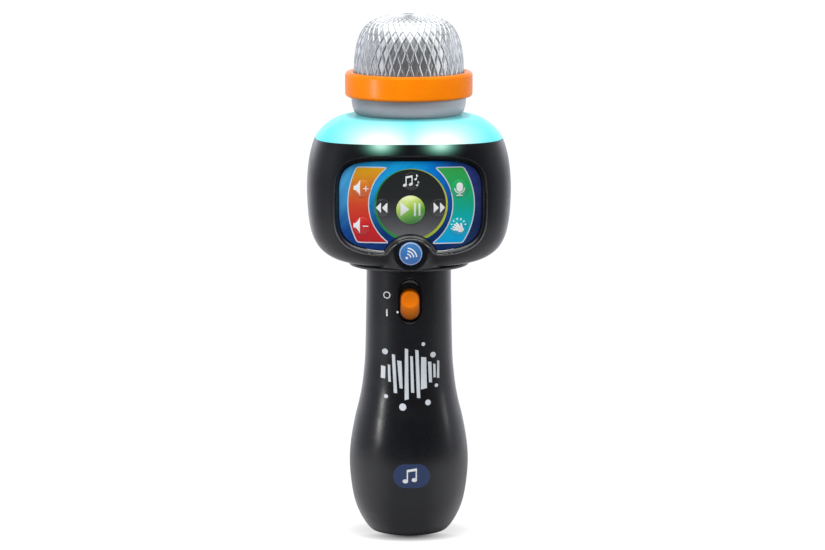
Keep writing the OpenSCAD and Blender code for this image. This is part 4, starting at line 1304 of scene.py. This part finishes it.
# clap: a plain open hand with motion marks
def finger(x0, z0, x1, z1, radius):
    """A round-ended bar from one point to the other."""
    lean = math.atan2(z1 - z0, x1 - x0)
    half = np.linspace(-math.pi / 2, math.pi / 2, 8)
    return (arc(x1, z1, radius, lean + half)
            + arc(x0, z0, radius, lean + np.linspace(math.pi / 2, 3 * math.pi / 2, 8)))


key = "clap_button"
sheet("clap_palm", ellipse(0.95, -1.45, 1.55, 1.35, 24), key)
for i, tip in enumerate(((-2.6, -1.35), (-2.5, -0.2), (-1.9, 0.85), (-0.95, 1.55))):
    sheet(f"clap_finger_{i}", finger(0.3 + 0.25 * i, -1.75 + 0.35 * i, *tip, 0.40), key)
sheet("clap_thumb", finger(1.6, -1.0, 1.25, 1.2, 0.42), key)
for i, degrees in enumerate((196, 163, 132, 100, 70, 42, 15)):
    cos, sin = math.cos(math.radians(degrees)), math.sin(math.radians(degrees))
    near, far = (3.15, 3.75) if i < 3 else (3.1, 3.95)
    sheet(f"clap_mark_{i}", [(reach * cos + half * sin, reach * sin - half * cos) for reach, half
                             in ((near, 0.2), (far, 0.3), (far, -0.3), (near, -0.2))], key)


# ---------------------------------------------------------------- pairing button
# a shallow dome with a pale rim and plain radio waves
PAIR_FRONT, PAIR_SPHERE = -35.9, 22


def pair_y(x, z, height=0.0):
    return (PAIR_FRONT + PAIR_SPHERE - math.sqrt(PAIR_SPHERE * PAIR_SPHERE - x * x - z * z)
            - height)


def on_pair(x, z, height):
    return x, pair_y(x, z, height), PAIR_Z + z


pair_profile = [(0.02, pair_y(0, 0)), *[(q, pair_y(q, 0)) for q in np.linspace(0.6, 5.0, 10)]]
pair_profile += [(radius, pair_y(radius, 0) + drop)
                 for radius, drop in ((5.3, 0.02), (5.5, 0.15), (5.6, 0.4))]
pair_profile += [(5.6, -31.1), (6.3, -31.1), (6.3, -29.7), (0.02, -29.7)]
link("pairing_cap", turned(pair_profile, 72, lambda x, z, y: (x, y, PAIR_Z + z)), "pairing_blue",
     "pairing_button", 50, ["pairing_button"])
line("pairing_rim", circle(0, 0, 5.12, 72), 0.42, -0.06, 0.06, "pairing_rim", on_pair,
     "pairing_button")
slab("pairing_dot", circle(-1.9, -1.9, 0.62, 24), -0.06, 0.06, "white_print", on_pair,
     "pairing_button", step=0.8)
for i, radius in enumerate((1.9, 3.3, 4.7)):
    wave = arc(-1.9, -1.9, radius, np.linspace(math.radians(6), math.radians(84), 20))
    line(f"pairing_wave_{i}", wave, 0.62, -0.06, 0.06, "white_print", on_pair, "pairing_button",
         closed=False)

# ---------------------------------------------------------------- power switch
# knob sections from the root outwards: lower and upper centre z, radius, y
KNOB = [(110.25, 115.75, 4.65, -16.5), (110.25, 115.75, 4.65, -20.6),
        (110.27, 115.74, 4.62, -21.0), (110.36, 115.70, 4.52, -21.3),
        (110.9, 115.68, 4.42, -21.7), (112.6, 115.62, 4.30, -22.7),
        (114.4, 115.57, 4.22, -23.7), (115.2, 115.55, 4.14, -24.2),
        (115.45, 115.55, 4.0, -24.42), (115.5, 115.55, 3.78, -24.56),
        (115.5, 115.55, 3.5, -24.6), (115.5, 115.55, 3.2, -24.56), (115.5, 115.55, 2.6, -24.42),
        (115.5, 115.55, 1.5, -24.32), (115.5, 115.55, 0.05, -24.28)]
link("switch_knob_cap", loft_y([(y, stadium(low, high, radius, 28))
                                for low, high, radius, y in KNOB]),
     "orange_knob", "power_switch", 38, ["switch_knob"])
# painted shade: the flange, orange like the knob, is drawn in dark plastic to stand for the shade
# inside the slot
link("switch_knob_flange", prism_y(stadium(*KNOB[0][:2], 6.2, 28), -15.4, -16.55),
     "dark_plastic", "power_switch", 38)


# ---------------------------------------------------------------- prints on the handle's front
def on_handle(x, z, height):
    radius = handle_radius(z) + height
    return x, -math.sqrt(max(radius * radius - x * x, 0)), z


def print_handle(name, outline, material="white_print", top=0.035, step=1.0):
    slab(name, outline, -0.12, top, material, on_handle, ROOT, step=step,
         angle=50)


# off and on marks, and the dot beside the slot
MARK_X = -10.9
line("mark_off", circle(MARK_X, 117.0, 1.45, 48), 0.5, -0.1, 0.035, "white_print", on_handle, ROOT)
print_handle("mark_on", rect(MARK_X, 108.5, 0.62, 3.3))
print_handle("mark_dot", circle(-5.9, 109.1, 0.55, 24))

# sound-bar print: the four corners (x, z) of each slanted bar
BARS = [[(-13.8, 77.1), (-11.8, 77.0), (-11.6, 82.8), (-13.7, 83.1)],
        [(-10.3, 75.7), (-9.1, 75.6), (-9.4, 83.6), (-10.5, 83.9)],
        [(-7.7, 70.5), (-6.1, 70.4), (-7.1, 88.6), (-8.6, 88.9)],
        [(-5.0, 72.8), (-3.5, 72.6), (-4.0, 85.7), (-6.1, 86.0)],
        [(-2.6, 67.2), (-0.6, 67.8), (-0.9, 91.5), (-2.4, 91.8)],
        [(0.5, 70.8), (2.0, 70.6), (1.4, 88.0), (0.1, 88.2)],
        [(3.3, 68.2), (4.9, 68.1), (4.1, 90.8), (2.5, 91.1)],
        [(5.2, 72.1), (8.1, 72.7), (7.8, 87.3), (5.3, 87.6)],
        [(9.1, 75.3), (10.6, 75.2), (10.3, 85.0), (8.6, 85.2)],
        [(11.3, 77.5), (12.4, 77.4), (12.3, 83.7), (11.1, 84.0)],
        [(13.0, 77.1), (14.1, 76.9), (14.2, 85.1), (13.1, 85.4)]]
# x, z, radius
DOTS = [(-11.8, 89.9, 1.39), (6.4, 93.7, 0.91), (11.1, 88.3, 1.34), (-11.4, 68.7, 0.96),
        (12.7, 73.6, 0.86), (-3.5, 64.0, 1.68), (8.6, 65.9, 1.34)]
for i, corners in enumerate(BARS):
    print_handle(f"wave_bar_{i}", corners, "silver_print", step=1.2)
for i, dot in enumerate(DOTS):
    print_handle(f"wave_dot_{i}", circle(*dot, 28), "silver_print")

# plain badge: a blue pill with a pair of joined notes
BADGE_X, BADGE_Z, BADGE_WIDTH, BADGE_HEIGHT = 0.6, 31.4, 17.6, 11.6
badge_end = BADGE_HEIGHT / 2
badge_reach = BADGE_WIDTH / 2 - badge_end
print_handle("badge",
             arc(BADGE_X + badge_reach, BADGE_Z, badge_end,
                 np.linspace(-math.pi / 2, math.pi / 2, 20))
             + arc(BADGE_X - badge_reach, BADGE_Z, badge_end,
                   np.linspace(math.pi / 2, 3 * math.pi / 2, 20)), "blue_print", 0.05)
# name, outline, height of the print
BADGE_NOTE = [
    ("stem_a", [(-1.95, -1.6), (-1.45, -1.6), (-1.45, 1.9), (-1.95, 1.9)], 0.08),
    ("stem_b", [(1.45, -1.1), (1.95, -1.1), (1.95, 2.4), (1.45, 2.4)], 0.08),
    ("beam", [(-1.95, 1.75), (1.95, 2.35), (1.95, 3.3), (-1.95, 2.7)], 0.085),
    ("head_a", ellipse(-2.45, -1.75, 1.05, 0.8, 24), 0.085),
    ("head_b", ellipse(0.95, -1.25, 1.05, 0.8, 24), 0.085)]
for part, outline, top in BADGE_NOTE:
    print_handle("badge_note_" + part, moved(outline, BADGE_X + 0.1, BADGE_Z - 0.3, 1.25),
                 "white_print", top)

# ---------------------------------------------------------------- inside pieces keep CAD shapes
INSIDE = {
    "dark_plastic": ["battery_tray", "mic_holder"],
    "screw_steel": ["door_screw", "handle_screws", "switch_board_screws", "head_screws",
                    "board_screws", "speaker_screws", "cup_screws", "grille_screws",
                    "switch_body", "battery_springs", "mic_capsule"],
    "magnet_steel": ["speaker_magnet"],
    "battery_sleeve": ["battery_cells"],
    "contact_brass": ["contact_plates"],
    "white_plastic": ["switch_lever", "reflector_plate", "led_board"],
    "circuit_board": ["switch_board", "main_board"],
    "red_insulation": ["power_wire_red", "speaker_wires"],
    "black_insulation": ["power_wire_black"],
    "grey_insulation": ["mic_wires"],
    "silicone": ["keypad_mat"],
    "chip_black": ["board_chips"],
    "basket_paint": ["speaker_basket"],
    "cone_paper": ["speaker_cone"],
    "open_foam": ["speaker_gasket", "foam_liner"],
    "lamp_lens": ["leds"],
    "boot_rubber": ["mic_boot"]}
for material, names in INSIDE.items():
    for name in names:
        slots = nodes[name].data.materials
        slots.clear()
        slots.append(materials[material].data)
        soften(nodes[name], 35)

# ---------------------------------------------------------------- floor and studio
# azimuth in degrees (0 in front, positive to the right) and brightness there
AZIMUTH = [(-180, 1.3), (-145, 1.35), (-118, 0.72), (-100, 0.50), (-84, 0.50), (-70, 0.62),
           (-58, 0.34), (-46, 0.14), (-34, 0.08), (-18, 0.035), (0, 0.025), (40, 0.035),
           (55, 0.11), (67, 0.20), (81, 0.45), (96, 0.62), (113, 0.80), (136, 1.3), (180, 1.3)]


def surround(shader, x, y):
    """Studio brightness by direction: dark in front, pale at the sides and behind."""
    azimuth = shader.calc("ARCTAN2", x, shader.mul(y, -1.0))
    return shader.ramp(shader.span(azimuth, -math.pi, math.pi),
                       [((degrees + 180) / 360, (0.975 * level, 0.985 * level, 1.07 * level, 1))
                        for degrees, level in AZIMUTH])


def floor_material():
    """Paper that glows evenly for the camera, with a painted contact shadow where the piece stands
    on it.
    """
    shader = Material("pale_floor")
    x, y, _ = shader.position()
    rays = shader.rays()
    distance = shader.calc("SQRT", shader.sum_squares(x, y))
    sideways = shader.div(x, shader.add(distance, 0.001))
    flank = shader.span(shader.calc("ABSOLUTE", sideways), 0.45, 0.95)
    near_mirror = shader.mix(flank, (0.60, 0.605, 0.64, 1), (1.05, 1.05, 1.08, 1))
    mirror = shader.mix(shader.span(distance, 0.22, 0.75), near_mirror, surround(shader, x, y))
    tone = shader.ramp(shader.noise(3, detail=2),
                       [(0.3, (0.93, 0.93, 0.932, 1)), (0.7, grey(0.945))])
    tone = shader.mix(rays["Is Diffuse Ray"], tone, grey(0.30))
    tone = shader.mix(rays["Is Glossy Ray"], tone, mirror)
    # painted contact shadow: ambient occlusion darkens the floor's glow next to the piece, more in
    # front of it than at its sides
    forward = shader.div(shader.mul(y, -1.0), shader.add(distance, 0.001))
    facing = shader.span(forward, 0.4, 0.98, 0.3, 1.0)
    contact = shader.new("ShaderNodeAmbientOcclusion", {"Distance": 0.0105}, samples=16)
    shade = shader.sub(1.0, shader.calc("POWER", contact.outputs["AO"], 1.6))
    lit = shader.mul(shader.sub(1.0, shader.mul(shade, facing)), 1.04)
    shader.surface({
        "Base Color": shader.mix(rays["Is Camera Ray"], tone, grey(0.0)),
        "Roughness": 1.0, "Specular IOR Level": 0.0,
        "Emission Color": shader.ramp(shader.noise(3, detail=2),
                                      [(0.3, grey(1.0)), (0.7, (0.995, 0.995, 0.995, 1))]),
        "Emission Strength": shader.mul(rays["Is Camera Ray"], lit)})


floor_material()
FLOOR = 9000
floor_corners = [(-FLOOR, -FLOOR, 0), (FLOOR, -FLOOR, 0), (FLOOR, FLOOR, 0), (-FLOOR, FLOOR, 0)]
link("floor", (floor_corners, [(0, 1, 2, 3)]), "pale_floor", None, 60, recalc=False)


def studio_world():
    world = bpy.data.worlds.new("studio")
    bpy.context.scene.world = world
    world.use_nodes = True
    shader = Tree(world.node_tree)
    x, y, z = shader.xyz(shader.new("ShaderNodeTexCoord").outputs["Generated"])
    rays = shader.rays()
    overhead = shader.ramp(z, [(0.3, grey(0.25)), (0.62, grey(0.38)), (0.90, grey(2.2))])
    mirror = shader.mix(shader.span(z, 0.22, 0.5), surround(shader, x, y), overhead)
    # soft light: an even part, more from the sides, more from behind
    sides = shader.mul(shader.calc("ABSOLUTE", x), 0.55)
    behind = shader.mul(shader.span(y, 0.0, 1.0), 0.3)
    soft = shader.add(0.30, shader.add(sides, behind))
    light = shader.mix(rays["Is Glossy Ray"], soft, mirror)
    light = shader.mix(rays["Is Camera Ray"], light, grey(1.05))
    background = world.node_tree.nodes["Background"]
    shader.feed(background.inputs["Color"], light)
    background.inputs["Strength"].default_value = 1.0


studio_world()


# ---------------------------------------------------------------- lights
def direction(azimuth, elevation):
    """Unit vector from degrees; azimuth 0 is in front and positive to the right."""
    azimuth, elevation = math.radians(azimuth), math.radians(elevation)
    return Vector((math.sin(azimuth) * math.cos(elevation),
                   -math.cos(azimuth) * math.cos(elevation), math.sin(elevation)))


def area(name, azimuth, elevation, distance, width, height, radiance, only, mirrored, centre_z):
    """A softbox aimed at the axis at centre_z; radiance is relative to a white surface."""
    outwards = direction(azimuth, elevation)
    data = bpy.data.lights.new(name, "AREA")
    data.shape, data.size, data.size_y = "RECTANGLE", width, height
    data.energy = radiance * math.pi * width * height
    obj = bpy.data.objects.new(name, data)
    bpy.context.scene.collection.objects.link(obj)
    obj.location = Vector((0, 0, centre_z)) + outwards * distance
    obj.rotation_euler = (-outwards).to_track_quat("-Z", "Y").to_euler()
    obj.visible_glossy = mirrored
    if only:
        group = bpy.data.collections.new(name + "_subjects")
        for piece in bpy.data.objects:
            if piece.type == "MESH" and piece.name.startswith(only):
                group.objects.link(piece)
        obj.light_linking.receiver_collection = group


# starts of the names of the pieces that a light falls on
ON_HANDLE = ("handle_", "badge", "wave_", "mark_", "battery_cover", "door_")
ON_KEYS = ("play_", "pause_", "volume_", "voice_", "clap_", "song_", "previous_", "next_",
           "pairing_")
ON_LIP = ("panel_lip",)
ON_DOME = ("grille_",)
ON_BAND = ("grip_band", "cup_body")
# name, azimuth, elevation, distance, width, height, radiance, pieces lit (empty for all),
# seen in mirrors, z of the point aimed at
LIGHTS = [
    ("key", -18, 54, 1.6, 1.1, 0.75, 7.0, (), False, 0.12),
    ("left_lamp", -66, 9, 1.3, 0.17, 0.17, 20.0, ON_HANDLE, True, 0.12),
    ("right_strip", 88, 10, 1.3, 0.16, 0.30, 3.4, ON_HANDLE, True, 0.12),
    ("cap_glint", -22, 27, 1.5, 0.16, 0.16, 5.0, ON_KEYS, True, 0.12),
    ("lip_glint", 0, 40, 1.5, 1.7, 0.34, 12.0, ON_LIP, True, 0.12),
    ("lip_left", -50, 10, 1.5, 0.30, 0.9, 6.0, ON_LIP, True, 0.12),
    ("lip_right", 50, 10, 1.5, 0.30, 0.9, 6.0, ON_LIP, True, 0.12),
    ("knob_fill", 0, 4, 1.6, 0.4, 0.4, 4.3, ("switch_knob_cap",), False, 0.12),
    ("dome_left", -60, 14, 1.3, 0.66, 1.4, 0.55, ON_DOME, True, 0.235),
    ("dome_right", 68, 14, 1.3, 0.78, 1.4, 0.95, ON_DOME, True, 0.235),
    ("band_glint", -66, -8, 1.3, 0.15, 0.40, 44.0, ("grip_band",), True, 0.215),
    ("band_fill", 66, 14, 1.3, 0.6, 0.6, 5.6, ON_BAND, False, 0.21),
    ("band_fill_left", -70, 14, 1.3, 0.6, 0.6, 0.8, ON_BAND, False, 0.21)]
for light in LIGHTS:
    area(*light)

# ---------------------------------------------------------------- camera
CAMERA_DISTANCE = 2.4
CAMERA_TARGET = Vector((0, 0, 0.125))
camera_data = bpy.data.cameras.new("camera")
camera = bpy.data.objects.new("camera", camera_data)
bpy.context.scene.collection.objects.link(camera)
bpy.context.scene.camera = camera
towards_camera = direction(azimuth=-1.5, elevation=8.0)
camera.location = CAMERA_TARGET + towards_camera * CAMERA_DISTANCE
camera.rotation_mode = "QUATERNION"
camera.rotation_quaternion = (-towards_camera).to_track_quat("-Z", "Y")
camera_data.sensor_width = 36
camera_data.lens = 218.6181818
camera_data.shift_x = 0.00448484848
camera_data.shift_y = -0.00206060606
camera_data.clip_start, camera_data.clip_end = 0.05, 100
bpy.context.scene.view_settings.view_transform = "Standard"
